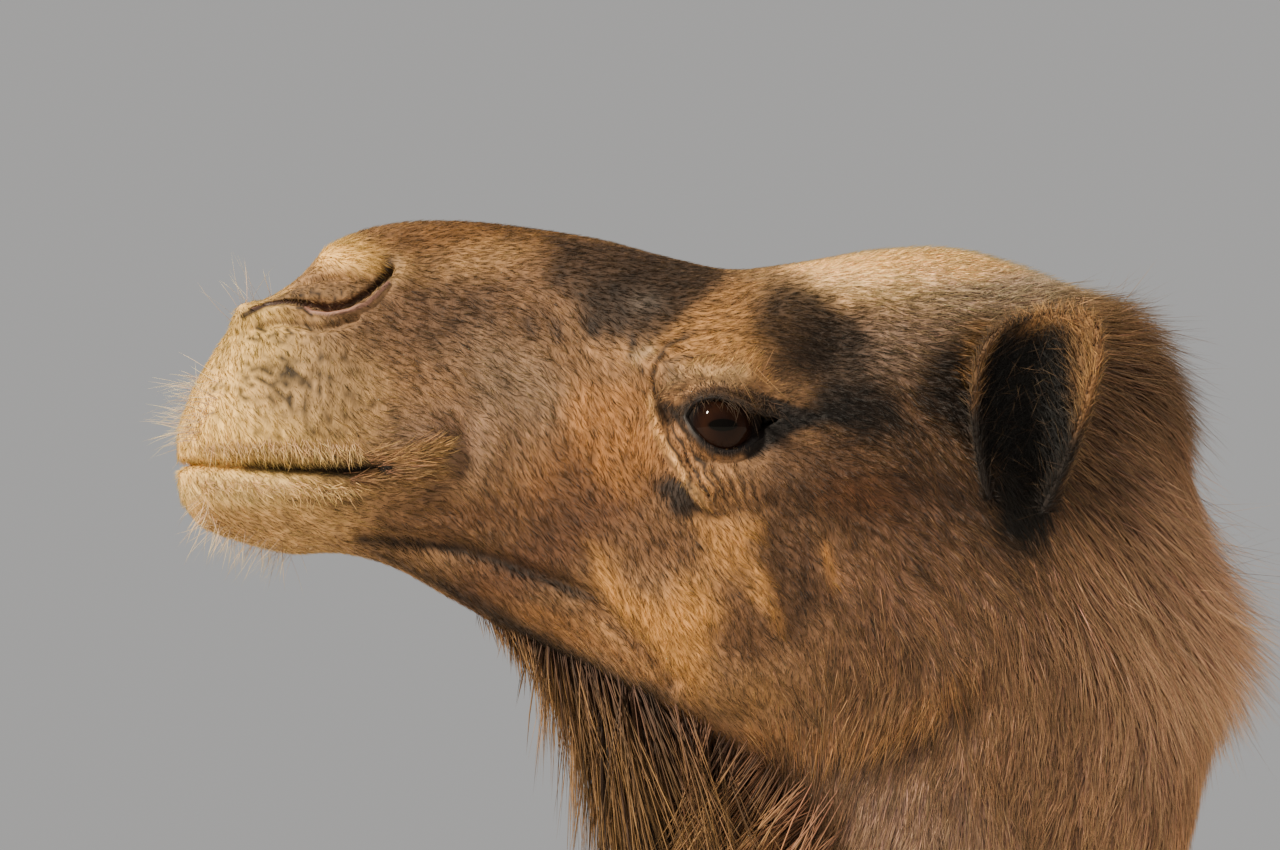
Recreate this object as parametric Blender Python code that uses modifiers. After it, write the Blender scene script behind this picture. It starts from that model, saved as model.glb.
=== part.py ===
"""Dromedary camel, life size: a still museum model, standing with its head raised.

Metres, +Z up, facing -Y, with the origin on the floor under the middle of the model.
The outline runs out to the tips of the coat. The head with the neck, the trunk, the hump, the legs and
the tail are lofts through named stations. They are joined, smoothed and parted with thin cuts.
"""

import math

import bmesh
import bpy
import numpy as np
from mathutils import Euler, Matrix, Vector

# ---------------------------------------------------------------- driving dimensions
EYE_Y, EYE_Z = -0.927, 2.13  # the eye's middle: the head and the neck are laid out from it
BODY_Y = -0.177  # the trunk and the legs are laid out from a plumb line this far from the origin
GAP = 0.0006  # the width of a parting cut
EYE_RADIUS = 0.0205
EYE_X = 0.0815  # the eyeball's middle, out from the model's middle plane

# The head and neck, in millimetres from the eye: the upper line's y and z, the lower line's y and z,
# the half width, the squareness of the section (2 is an ellipse), and how much wider it is above.
HEAD_NECK = (
    ("lips", -278, 2, -277, -40, 28, 2.3, -0.04),
    ("upper lip", -270, 27, -269, -53, 40, 2.4, -0.08),
    ("nostril front", -251, 56, -249, -61, 47, 2.4, -0.10),
    ("nostril", -228, 77, -224, -67, 51, 2.4, -0.10),
    ("nostril back", -201, 96, -198, -67, 54, 2.4, -0.08),
    ("chin back", -171, 104, -171, -74, 54, 2.3, -0.04),
    ("nose", -136, 105, -138, -92, 55, 2.3, 0.00),
    ("bridge", -100, 102, -106, -112, 60, 2.3, 0.06),
    ("before the eye", -62, 96, -80, -130, 71, 2.3, 0.12),
    ("inner corner", -25, 86, -73, -156, 86, 2.3, 0.16),
    ("eye", 6, 80, -66, -182, 97, 2.3, 0.18),
    ("temple", 42, 84, -54, -200, 100, 2.3, 0.14),
    ("crown", 82, 91, -42, -213, 98, 2.3, 0.08),
    ("poll", 124, 91, -31, -225, 95, 2.2, 0.02),
    ("ears", 172, 78, -20, -240, 94, 2.2, -0.02),
    ("back of the head", 218, 57, -10, -260, 93, 2.2, -0.04),
    ("nape", 245, 10, -2, -288, 90, 2.1, -0.04),
    ("throat", 252, -50, 3, -325, 86, 2.1, -0.03),
    ("upper neck", 268, -112, 7, -370, 83, 2.0, 0.00),
    ("neck", 260, -178, 10, -425, 82, 2.0, 0.00),
    ("below the mane", 242, -262, 12, -490, 84, 2.0, 0.00),
    ("neck bend", 229, -350, 17, -570, 88, 2.0, 0.00),
    ("bend", 234, -440, 32, -660, 95, 2.0, 0.00),
    ("lower neck", 270, -520, 80, -755, 106, 2.0, 0.00),
    ("neck root", 348, -562, 172, -842, 122, 2.0, 0.00),
    ("neck base", 460, -545, 300, -885, 140, 2.0, 0.00),
    ("front of the withers", 590, -450, 440, -915, 165, 2.0, 0.00),
    ("withers", 720, -320, 590, -940, 190, 2.0, 0.00),
)
# The places in those stations where the neck is parted.
HEAD_END, UPPER_NECK_END, MIDDLE_NECK_END, LOWER_NECK_END = 16.0, 19.0, 22.0, 25.3

# The trunk, in metres from the plumb line: the same columns, from the chest to the rump.
TRUNK = (
    ("breast", -0.30, 1.60, -0.30, 1.30, 0.10, 2.0, 0.0),
    ("chest", -0.22, 1.75, -0.23, 1.17, 0.165, 2.0, -0.05),
    ("shoulder", -0.10, 1.845, -0.11, 1.11, 0.215, 2.1, -0.10),
    ("withers", 0.02, 1.87, 0.02, 1.080, 0.245, 2.1, -0.14),
    ("elbow", 0.17, 1.875, 0.17, 1.080, 0.270, 2.1, -0.18),
    ("ribs", 0.36, 1.875, 0.36, 1.09, 0.293, 2.1, -0.18),
    ("barrel", 0.58, 1.868, 0.58, 1.115, 0.300, 2.1, -0.15),
    ("last rib", 0.78, 1.85, 0.76, 1.165, 0.282, 2.1, -0.08),
    ("loin", 0.95, 1.83, 0.91, 1.235, 0.245, 2.1, 0.02),
    ("hips", 1.10, 1.795, 1.04, 1.30, 0.222, 2.2, 0.10),
    ("rump", 1.22, 1.73, 1.15, 1.35, 0.185, 2.2, 0.08),
    ("pin bones", 1.31, 1.635, 1.25, 1.40, 0.125, 2.2, 0.0),
)
HUMP = (
    ("hump front", 0.10, 1.88, 0.10, 1.74, 0.05, 2.0, -0.1),
    ("front slope", 0.20, 1.955, 0.20, 1.66, 0.100, 2.0, -0.30),
    ("rise", 0.32, 2.050, 0.32, 1.58, 0.140, 2.0, -0.38),
    ("crest", 0.46, 2.130, 0.46, 1.55, 0.158, 2.0, -0.40),
    ("behind the crest", 0.60, 2.130, 0.60, 1.55, 0.158, 2.0, -0.40),
    ("fall", 0.74, 2.040, 0.74, 1.58, 0.142, 2.0, -0.38),
    ("back slope", 0.87, 1.925, 0.87, 1.64, 0.105, 2.0, -0.30),
    ("hump back", 0.98, 1.85, 0.98, 1.74, 0.06, 2.0, -0.1),
)
# The legs: the front line's y and z, the back line's y and z, the half width, squareness, taper, and
# the distance of the leg's middle from the model's middle plane.
FORELEG = (
    ("shoulder blade", -0.07, 1.70, 0.12, 1.70, 0.045, 2.0, 0.0, 0.150),
    ("shoulder", -0.165, 1.50, 0.15, 1.50, 0.066, 2.0, 0.0, 0.165),
    ("shoulder point", -0.185, 1.36, 0.16, 1.35, 0.078, 2.0, 0.0, 0.168),
    ("upper arm", -0.150, 1.24, 0.155, 1.22, 0.076, 2.0, 0.0, 0.168),
    ("elbow", -0.105, 1.13, 0.130, 1.12, 0.067, 2.0, 0.0, 0.165),
    ("forearm", -0.075, 1.02, 0.095, 1.01, 0.056, 2.0, 0.0, 0.160),
    ("forearm middle", -0.055, 0.88, 0.068, 0.88, 0.047, 2.1, 0.0, 0.153),
    ("above the knee", -0.050, 0.72, 0.050, 0.72, 0.042, 2.2, 0.0, 0.146),
    ("knee", -0.066, 0.615, 0.056, 0.615, 0.054, 2.5, 0.0, 0.143),
    ("below the knee", -0.058, 0.54, 0.050, 0.54, 0.048, 2.5, 0.0, 0.142),
    ("cannon top", -0.040, 0.47, 0.038, 0.47, 0.036, 2.2, 0.0, 0.141),
    ("cannon", -0.036, 0.34, 0.034, 0.34, 0.032, 2.2, 0.0, 0.139),
    ("cannon foot", -0.038, 0.235, 0.038, 0.23, 0.035, 2.2, 0.0, 0.137),
    ("fetlock", -0.052, 0.172, 0.047, 0.165, 0.046, 2.3, 0.0, 0.136),
    ("pastern", -0.064, 0.116, 0.032, 0.106, 0.045, 2.3, 0.0, 0.136),
    ("toes", -0.096, 0.084, 0.040, 0.070, 0.058, 2.4, 0.0, 0.137),
    ("foot", -0.136, 0.055, 0.064, 0.044, 0.083, 2.5, 0.0, 0.138),
    ("pad", -0.146, 0.024, 0.078, 0.022, 0.094, 2.5, 0.0, 0.138),
    ("sole", -0.138, 0.0, 0.072, 0.0, 0.089, 2.5, 0.0, 0.138),
)
HINDLEG = (
    ("hip", 0.97, 1.66, 1.262, 1.61, 0.064, 2.0, 0.0, 0.112),
    ("buttock", 0.90, 1.50, 1.310, 1.47, 0.080, 2.0, 0.0, 0.138),
    ("thigh", 0.865, 1.34, 1.275, 1.33, 0.083, 2.0, 0.0, 0.158),
    ("lower thigh", 0.850, 1.21, 1.215, 1.20, 0.078, 2.0, 0.0, 0.166),
    ("stifle", 0.868, 1.10, 1.150, 1.08, 0.068, 2.0, 0.0, 0.164),
    ("gaskin", 0.935, 0.97, 1.130, 0.95, 0.055, 2.0, 0.0, 0.156),
    ("gaskin below", 1.020, 0.84, 1.158, 0.83, 0.044, 2.1, 0.0, 0.148),
    ("above the hock", 1.085, 0.74, 1.208, 0.755, 0.038, 2.1, 0.0, 0.143),
    ("hock", 1.103, 0.655, 1.230, 0.675, 0.046, 2.4, 0.0, 0.142),
    ("below the hock", 1.115, 0.57, 1.208, 0.575, 0.040, 2.3, 0.0, 0.142),
    ("shank", 1.112, 0.45, 1.183, 0.45, 0.033, 2.2, 0.0, 0.140),
    ("shank below", 1.102, 0.27, 1.172, 0.27, 0.032, 2.2, 0.0, 0.137),
    ("hind fetlock", 1.088, 0.178, 1.176, 0.168, 0.042, 2.3, 0.0, 0.136),
    ("hind pastern", 1.074, 0.118, 1.156, 0.108, 0.041, 2.3, 0.0, 0.136),
    ("hind toes", 1.044, 0.082, 1.160, 0.070, 0.052, 2.4, 0.0, 0.137),
    ("hind foot", 1.010, 0.053, 1.180, 0.044, 0.072, 2.5, 0.0, 0.138),
    ("hind pad", 1.002, 0.024, 1.194, 0.022, 0.083, 2.5, 0.0, 0.138),
    ("hind sole", 1.008, 0.0, 1.188, 0.0, 0.078, 2.5, 0.0, 0.138),
)
FORE_CUTS, HIND_CUTS = (4.5, 7.5, 12.5), (4.5, 7.5, 11.5)  # places where each leg is parted
TAIL = (
    ("dock", 1.215, 1.655, 1.235, 1.56, 0.034, 2.0, 0.0),
    ("tail root", 1.315, 1.640, 1.290, 1.555, 0.032, 2.0, 0.0),
    ("tail", 1.372, 1.56, 1.312, 1.51, 0.029, 2.0, 0.0),
    ("tail middle", 1.388, 1.42, 1.326, 1.41, 0.026, 2.0, 0.0),
    ("tail below", 1.382, 1.28, 1.322, 1.28, 0.024, 2.0, 0.0),
    ("tuft", 1.388, 1.15, 1.308, 1.15, 0.032, 2.0, 0.0),
    ("tuft below", 1.376, 1.02, 1.306, 1.02, 0.028, 2.0, 0.0),
    ("tuft end", 1.352, 0.94, 1.326, 0.94, 0.010, 2.0, 0.0),
)
TUFT_START = 4.5
# How far each foot stands ahead of (-) or behind (+) its own plumb line.
STAGGER = {"fore_left": -0.035, "fore_right": 0.030, "hind_left": 0.045, "hind_right": -0.045}
STAGGER_TOP = 1.15  # the height above which a leg is not moved
HUMP_Z = 1.885  # the hump's foot
# The outlines, from the plumb line, in which the shoulder and the thigh are parted from the trunk.
SHOULDER_REGION = (
    (-0.30, 0.95), (-0.26, 1.30), (-0.20, 1.48), (-0.09, 1.66), (0.02, 1.72), (0.12, 1.66), (0.18, 1.45),
    (0.21, 1.28), (0.24, 0.95),
)
THIGH_REGION = (
    (0.70, 0.95), (0.72, 1.18), (0.82, 1.38), (0.93, 1.56), (1.06, 1.66), (1.20, 1.64), (1.45, 1.52),
    (1.45, 0.95),
)
SHOULDER_X, THIGH_X = 0.115, 0.060  # how far out those regions begin
NAIL_SIZE = (0.020, 0.025, 0.015)
CLEFT = 0.011  # the width between the toes

# Rounded forms on the side of the head, in millimetres from the eye: y, z, reach along y, reach along z,
# and how far the surface stands out (or in, below 0).
HEAD_FORMS = (
    ("brow", 2, 35, 40, 17, 9.0),
    ("brow front", -38, 26, 20, 18, 3.0),
    ("eye socket", 0, -2, 25, 19, -15.0),
    ("under the eye", -10, -38, 34, 14, 3.0),
    ("cheekbone", 55, -28, 60, 15, 4.0),
    ("temple hollow", 62, 42, 24, 20, -8.0),
    ("before the eye", -78, 14, 36, 34, -6.0),
    ("chewing muscle", 42, -92, 56, 48, 5.0),
    ("jaw angle", 2, -138, 40, 22, 4.0),
    ("beard", -60, -185, 30, 50, -14.0),
    ("nostril wing", -186, 76, 30, 12, 6.0),
    ("upper lip", -232, -2, 38, 17, 4.0),
    ("lower lip", -238, -40, 34, 13, 3.0),
    ("mouth corner", -148, -27, 16, 16, -4.0),
    ("lip cushion", -190, 4, 26, 20, 2.5),
    ("behind the jaw", 95, -120, 30, 60, -4.0),
)
# The lower jaw's upper edge, in millimetres from the eye, from the lips to the angle of the jaw.
JAW_EDGE = (
    (-300, -21.5), (-182, -21.5), (-158, -24), (-146, -32), (-138, -50), (-124, -64), (-100, -76),
    (-78, -90), (-66, -106), (-66, -122), (-80, -136), (-110, -160),
)

# The ear, in metres from the eye: where its base stands, and its section from the base to the tip.
EAR_X, EAR_Y, EAR_Z = 0.080, 0.157, -0.034
EAR_LENGTH = 0.104
EAR_ALONG = (0.0, 0.25, 0.6, 0.85, 1.0)
EAR_RADIUS = (0.017, 0.025, 0.029, 0.021, 0.006)
EAR_ANGLE = (115, 110, 100, 90, 80)  # degrees from the back of the ear to each edge
EAR_TURN = Euler((math.radians(-17), math.radians(20), math.radians(-8)), "XYZ")

# ---------------------------------------------------------------- lofts
def smooth_through(rows, places):
    """Rows of numbers as one smooth run (Catmull-Rom), read at fractional places."""
    rows = np.asarray(rows, float)
    last = len(rows) - 1
    i = np.clip(np.floor(places).astype(int), 0, last - 1)
    t = (places - i)[:, None]
    a, b, c, d = (rows[np.clip(i + k, 0, last)] for k in (-1, 0, 1, 2))
    return 0.5 * (2 * b + (c - a) * t + (2 * a - 5 * b + 4 * c - d) * t**2 + (3 * b - a - 3 * c + d) * t**3)


def ring_places(first, last, per_station, rounded_front, rounded_back):
    """For each ring from end to end: its place in the stations, its size, and its share of the end cap."""
    bend = np.arange(3) / 3 * math.pi / 2
    front = bend if rounded_front else bend[:1]
    back = bend[::-1] if rounded_back else bend[:1]
    middle = np.linspace(first, last, max(1, round((last - first) * per_station)) + 1)
    place = np.concatenate([np.full(len(front), first), middle, np.full(len(back), last)])
    size = np.concatenate([np.sin(front), np.ones(len(middle)), np.sin(back)])
    push = np.concatenate([-np.cos(front) * rounded_front, 0 * middle, np.cos(back) * rounded_back])
    return place, size, push


def loft(name, stations, segments, first=0.0, last=None, per_station=2, front=0.5, back=0.5, side=1.0):
    """A closed tube through the stations, made from a sphere whose rings are laid on them.

    front and back are how far each end is rounded, as a share of the section: 0 leaves it flat.
    """
    rows = np.array([row[1:] for row in stations], float)
    if rows.shape[1] == 7:
        rows = np.hstack([rows, np.zeros((len(rows), 1))])
    last = len(rows) - 1.0 if last is None else last
    place, size, push = ring_places(first, last, per_station, front, back)
    row = smooth_through(rows, place)
    upper, lower, half = row[:, 0:2], row[:, 2:4], row[:, 4]
    square, taper, middle_x = row[:, 5], row[:, 6], row[:, 7]
    centre, reach = (upper + lower) / 2, (upper - lower) / 2
    depth = np.linalg.norm(reach, axis=1)
    across = np.stack([reach[:, 1], -reach[:, 0]], 1) / depth[:, None]
    ahead = smooth_through(rows, np.clip(place + 0.1, first, last))
    behind = smooth_through(rows, np.clip(place - 0.1, first, last))
    run = (ahead[:, 0:2] + ahead[:, 2:4] - behind[:, 0:2] - behind[:, 2:4]) / 2
    across = np.where((across * run).sum(1, keepdims=True) < 0, -across, across)
    centre = centre + across * (push * np.minimum(depth, half))[:, None]
    centre = centre + across * np.where(place <= first, GAP / 2 if not front and first > 0 else 0, 0)[:, None]
    centre = centre - across * np.where(place >= last, GAP / 2 if not back and last < len(rows) - 1 else 0, 0)[:, None]

    mesh_data = bmesh.new()
    bmesh.ops.create_uvsphere(mesh_data, u_segments=segments, v_segments=len(place) - 1, radius=1)
    mesh = bpy.data.meshes.new(name)
    mesh_data.to_mesh(mesh)
    mesh_data.free()
    places = points_of(mesh)
    ring = np.rint(np.arccos(np.clip(places[:, 2], -1, 1)) / math.pi * (len(place) - 1)).astype(int)
    turn = np.arctan2(places[:, 1], places[:, 0])
    up, out = np.cos(turn), np.sin(turn)
    power = 2 / square[ring]
    up = np.sign(up) * np.abs(up) ** power * size[ring]
    out = np.sign(out) * np.abs(out) ** power * size[ring]
    width = half[ring] * (1 + taper[ring] * up)
    placed = np.empty_like(places)
    placed[:, 0] = side * middle_x[ring] + width * out
    placed[:, 1:] = centre[ring] + reach[ring] * up[:, None]
    set_points(mesh, placed)
    made = bpy.data.objects.new(name, mesh)
    helpers.objects.link(made)
    outward(made)
    return made


def outward(thing):
    """Turns every face of a closed mesh to point out."""
    mesh_data = bmesh.new()
    mesh_data.from_mesh(thing.data)
    bmesh.ops.remove_doubles(mesh_data, verts=mesh_data.verts, dist=1e-6)
    bmesh.ops.recalc_face_normals(mesh_data, faces=mesh_data.faces)
    mesh_data.to_mesh(thing.data)
    mesh_data.free()


def points_of(mesh):
    found = np.empty(len(mesh.vertices) * 3)
    mesh.vertices.foreach_get("co", found)
    return found.reshape(-1, 3)


def set_points(mesh, points):
    mesh.vertices.foreach_set("co", np.ascontiguousarray(points).ravel())
    mesh.update()


def in_metres(stations):
    """The head's stations as metres in the model's own frame."""
    return tuple(
        (name, EYE_Y + a / 1000, EYE_Z + b / 1000, EYE_Y + c / 1000, EYE_Z + d / 1000, w / 1000, n, k)
        for name, a, b, c, d, w, n, k in stations
    )


def shifted(stations, by):
    return tuple((row[0], row[1] + by, row[2], row[3] + by, *row[4:]) for row in stations)


def staggered(stations, foot):
    """A leg whose foot is moved along Y by foot, and whose top stays where it is."""
    def moved(y, z):
        return y + foot * max(0.0, 1 - z / STAGGER_TOP)

    return tuple(
        (row[0], moved(row[1], row[2]), row[2], moved(row[3], row[4]), row[4], *row[5:])
        for row in stations
    )


def head_forms(points):
    """The rounded forms of the head: each moves the side of the head out or in."""
    x, y, z = points[:, 0], (points[:, 1] - EYE_Y) * 1000, (points[:, 2] - EYE_Z) * 1000
    side = np.clip(np.abs(x) / 0.035, 0, 1)
    side = side * side * (3 - 2 * side)
    out = np.zeros(len(points))
    for _, at_y, at_z, reach_y, reach_z, height in HEAD_FORMS:
        out += height * np.exp(-(((y - at_y) / reach_y) ** 2) - ((z - at_z) / reach_z) ** 2)
    moved = points.copy()
    moved[:, 0] += np.sign(x) * side * out / 1000
    return moved


def baked(thing, name):
    """The thing with its modifiers applied, as a new object."""
    bpy.context.view_layer.update()
    graph = bpy.context.evaluated_depsgraph_get()
    mesh = bpy.data.meshes.new_from_object(thing.evaluated_get(graph))
    mesh.transform(thing.matrix_world)
    made = bpy.data.objects.new(name, mesh)
    helpers.objects.link(made)
    return made


def joined(name, things):
    mesh_data = bmesh.new()
    for thing in things:
        mesh_data.from_mesh(thing.data)
    mesh = bpy.data.meshes.new(name)
    mesh_data.to_mesh(mesh)
    mesh_data.free()
    made = bpy.data.objects.new(name, mesh)
    helpers.objects.link(made)
    return made


# ---------------------------------------------------------------- cutters
def side_plate(name, outline, x_low, x_high):
    """A closed plate: an outline in the Y-Z plane, in order, drawn out along X."""
    mesh_data = bmesh.new()
    corners = [mesh_data.verts.new((x_low, y, z)) for y, z in outline]
    face = mesh_data.faces.new(corners)
    grown = bmesh.ops.extrude_face_region(mesh_data, geom=[face])
    moved = [item for item in grown["geom"] if isinstance(item, bmesh.types.BMVert)]
    bmesh.ops.translate(mesh_data, verts=moved, vec=(x_high - x_low, 0, 0))
    bmesh.ops.recalc_face_normals(mesh_data, faces=mesh_data.faces)
    mesh = bpy.data.meshes.new(name)
    mesh_data.to_mesh(mesh)
    mesh_data.free()
    made = bpy.data.objects.new(name, mesh)
    helpers.objects.link(made)
    return made


def front_plate(name, outline, y_low, y_high):
    """A closed plate: an outline in the X-Z plane, in order, drawn out along Y."""
    made = side_plate(name, outline, y_low, y_high)
    points = points_of(made.data)
    set_points(made.data, points[:, [1, 0, 2]])
    outward(made)
    return made


def beside(line, by):
    """A line of Y-Z points moved to its own left by a distance, its corners mitred."""
    points = np.array(line)
    run = np.diff(points, axis=0)
    run /= np.linalg.norm(run, axis=1)[:, None]
    left = np.stack([-run[:, 1], run[:, 0]], 1)
    before, after = np.vstack([left[:1], left]), np.vstack([left, left[-1:]])
    mitre = before + after
    return [tuple(p) for p in points + 2 * by * mitre / (mitre**2).sum(1)[:, None]]


def cut(thing, cutter, operation, name):
    """A new object: the thing cut by, or kept inside, the cutter."""
    made = bpy.data.objects.new(name, thing.data.copy())
    helpers.objects.link(made)
    step = made.modifiers.new("cut", "BOOLEAN")
    step.operation = operation
    step.solver = "EXACT"
    step.object = cutter
    return baked(made, name)


def half_of(thing, name, low, high, keep_front):
    """The part of a closed mesh on one side of a plane through two points of the Y-Z plane."""
    (y0, z0), (y1, z1) = low, high
    normal = Vector((0, z0 - z1, y1 - y0)).normalized()
    if (normal.y > 0) == keep_front:
        normal = -normal
    mesh_data = bmesh.new()
    mesh_data.from_mesh(thing.data)
    at = Vector((0, (y0 + y1) / 2, (z0 + z1) / 2)) + normal * GAP / 2
    bmesh.ops.bisect_plane(
        mesh_data, geom=[*mesh_data.verts, *mesh_data.edges, *mesh_data.faces],
        plane_co=at, plane_no=normal, dist=1e-6, clear_inner=True,
    )
    open_edges = [edge for edge in mesh_data.edges if edge.is_boundary]
    bmesh.ops.holes_fill(mesh_data, edges=open_edges, sides=0)
    bmesh.ops.triangulate(mesh_data, faces=[f for f in mesh_data.faces if len(f.verts) > 4])
    bmesh.ops.recalc_face_normals(mesh_data, faces=mesh_data.faces)
    mesh = bpy.data.meshes.new(name)
    mesh_data.to_mesh(mesh)
    mesh_data.free()
    made = bpy.data.objects.new(name, mesh)
    helpers.objects.link(made)
    return made


def grown(thing, by):
    """A copy of a closed mesh with its surface moved out."""
    made = bpy.data.objects.new(f"{thing.name} grown", thing.data.copy())
    helpers.objects.link(made)
    normals = np.empty(len(made.data.vertices) * 3)
    made.data.vertices.foreach_get("normal", normals)
    set_points(made.data, points_of(made.data) + normals.reshape(-1, 3) * by)
    return made


def ball(name, at, size, segments=16, rings=10, tilt=0.0):
    """A ball stretched to its three half sizes, tilted about X."""
    mesh_data = bmesh.new()
    bmesh.ops.create_uvsphere(mesh_data, u_segments=segments, v_segments=rings, radius=1)
    bmesh.ops.scale(mesh_data, verts=mesh_data.verts, vec=size)
    bmesh.ops.rotate(mesh_data, verts=mesh_data.verts, matrix=Matrix.Rotation(tilt, 3, "X"))
    bmesh.ops.translate(mesh_data, verts=mesh_data.verts, vec=at)
    mesh = bpy.data.meshes.new(name)
    mesh_data.to_mesh(mesh)
    mesh_data.free()
    made = bpy.data.objects.new(name, mesh)
    helpers.objects.link(made)
    return made


# ---------------------------------------------------------------- the sub-parts
def material(name, colour, roughness):
    made = bpy.data.materials.new(name)
    made.use_nodes = True
    shader = made.node_tree.nodes["Principled BSDF"]
    shader.inputs["Base Color"].default_value = (*colour, 1)
    shader.inputs["Roughness"].default_value = roughness
    return made


def keep(thing, name, finish):
    """Makes the thing a part of the model, under its own name and material."""
    if name in bpy.data.objects:
        bpy.data.objects[name].name = f"helper {name}"
    final = bpy.data.objects.new(name, thing.data.copy())
    final.data.name = name
    final.data.materials.clear()
    final.data.materials.append(finish)
    final.data.shade_smooth()
    final.data.set_sharp_from_angle(angle=math.radians(38))
    camel.objects.link(final)
    return final


def plane_at(stations, place):
    """The two points, front and back, of the section at a place in the stations."""
    row = smooth_through(np.array([row[1:] for row in stations], float), np.array([place]))[0]
    return tuple(row[0:2]), tuple(row[2:4])


def body_form(voxel, triangles):
    """Trunk, hump, upper legs and the root of the neck as one closed mesh."""
    neck = in_metres(HEAD_NECK)
    parts = [
        loft("neck root", neck, 32, first=20),
        loft("trunk", shifted(TRUNK, BODY_Y), 40),
        loft("hump", shifted(HUMP, BODY_Y), 32),
    ]
    for name, stations in (("fore", FORELEG), ("hind", HINDLEG)):
        for hand, side in (("left", 1.0), ("right", -1.0)):
            leg = shifted(staggered(stations, STAGGER[f"{name}_{hand}"]), BODY_Y)
            parts.append(loft(f"{name} {hand}", leg, 24, last=6.5, side=side))
    whole = joined("body", parts)
    remesh = whole.modifiers.new("one surface", "REMESH")
    remesh.mode = "VOXEL"
    remesh.voxel_size = voxel
    smooth = whole.modifiers.new("soften", "SMOOTH")
    smooth.factor = 0.5
    smooth.iterations = 8
    whole = baked(whole, "body smooth")
    fewer = whole.modifiers.new("fewer faces", "DECIMATE")
    fewer.ratio = triangles / (2 * len(whole.data.polygons))
    return baked(whole, "body form")


def ear(side):
    """A cupped leaf: a sheet curled about its own length, then thickened."""
    long_way, across_way = 6, 8
    mesh_data = bmesh.new()
    bmesh.ops.create_grid(mesh_data, x_segments=long_way, y_segments=across_way, size=1)
    mesh = bpy.data.meshes.new("ear sheet")
    mesh_data.to_mesh(mesh)
    mesh_data.free()
    points = points_of(mesh)
    along, curl = (points[:, 0] + 1) / 2, points[:, 1]
    radius = np.interp(along, EAR_ALONG, EAR_RADIUS)
    angle = curl * np.radians(np.interp(along, EAR_ALONG, EAR_ANGLE))
    sheet = np.stack([0.6 * radius * (1 - np.cos(angle)), radius * np.sin(angle), along * EAR_LENGTH], 1)
    sheet[:, 0] -= 0.010 * along**2
    turned = sheet @ np.array(EAR_TURN.to_matrix()).T
    placed = np.stack([side * (EAR_X + turned[:, 0]), EYE_Y + EAR_Y + turned[:, 1], EYE_Z + EAR_Z + turned[:, 2]], 1)
    set_points(mesh, placed)
    made = bpy.data.objects.new("ear", mesh)
    helpers.objects.link(made)
    thick = made.modifiers.new("thickness", "SOLIDIFY")
    thick.thickness = 0.0045
    thick.offset = 0
    made = baked(made, "ear thick")
    outward(made)
    return made


def leg(prefix, hand, stations, cuts, coat, horn):
    """The lower pieces of one leg: everything under the body's own cut, with its two toes and nails."""
    side = 1.0 if hand == "left" else -1.0
    own = shifted(staggered(stations, STAGGER[f"{prefix}_{hand}"]), BODY_Y)
    upper, lower = ("forearm", "cannon") if prefix == "fore" else ("gaskin", "shank")
    name = f"{prefix}_{hand}"
    keep(loft("upper", own, 16, cuts[0], cuts[1], 1, 0, 0, side), f"{name}_{upper}", coat)
    keep(loft("lower", own, 14, cuts[1], cuts[2], 1.2, 0, 0, side), f"{name}_{lower}", coat)
    foot = loft("foot", own, 18, cuts[2], None, 1.1, 0, 0, side)
    pad = smooth_through(np.array([row[1:] for row in own], float), np.array([len(own) - 1.7]))[0]
    front, middle = pad[0], side * pad[7]
    wedge = front_plate(
        "cleft", [(middle - CLEFT / 2, -0.01), (middle + CLEFT / 2, -0.01), (middle + 0.001, 0.09),
                  (middle - 0.001, 0.09)], front - 0.03, front + 0.034)
    foot = cut(foot, wedge, "DIFFERENCE", "foot with cleft")
    nails = []
    for toe, across in (("inner", -1), ("outer", 1)):
        at = (middle + side * across * 0.040, front + 0.017, 0.037)
        nail = ball(f"{toe} nail", at, NAIL_SIZE, 8, 6, math.radians(25))
        nails.append((toe, nail))
    for toe, nail in nails:
        keep(cut(nail, grown(foot, 0.0004), "DIFFERENCE", "nail"), f"{name}_{toe}_nail", horn)
    keep(foot, f"{name}_foot", coat)


def region(name, outline, x_low, x_high, by=0.0):
    """A plate over an outline from the plumb line, its edges moved in by a little."""
    middle = np.mean(np.array(outline), 0)
    moved = []
    for y, z in outline:
        away = Vector((y - middle[0], z - middle[1]))
        point = Vector((y, z)) - away.normalized() * by
        moved.append((point.x + BODY_Y, point.y))
    return side_plate(name, moved, x_low + by, x_high)


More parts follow.
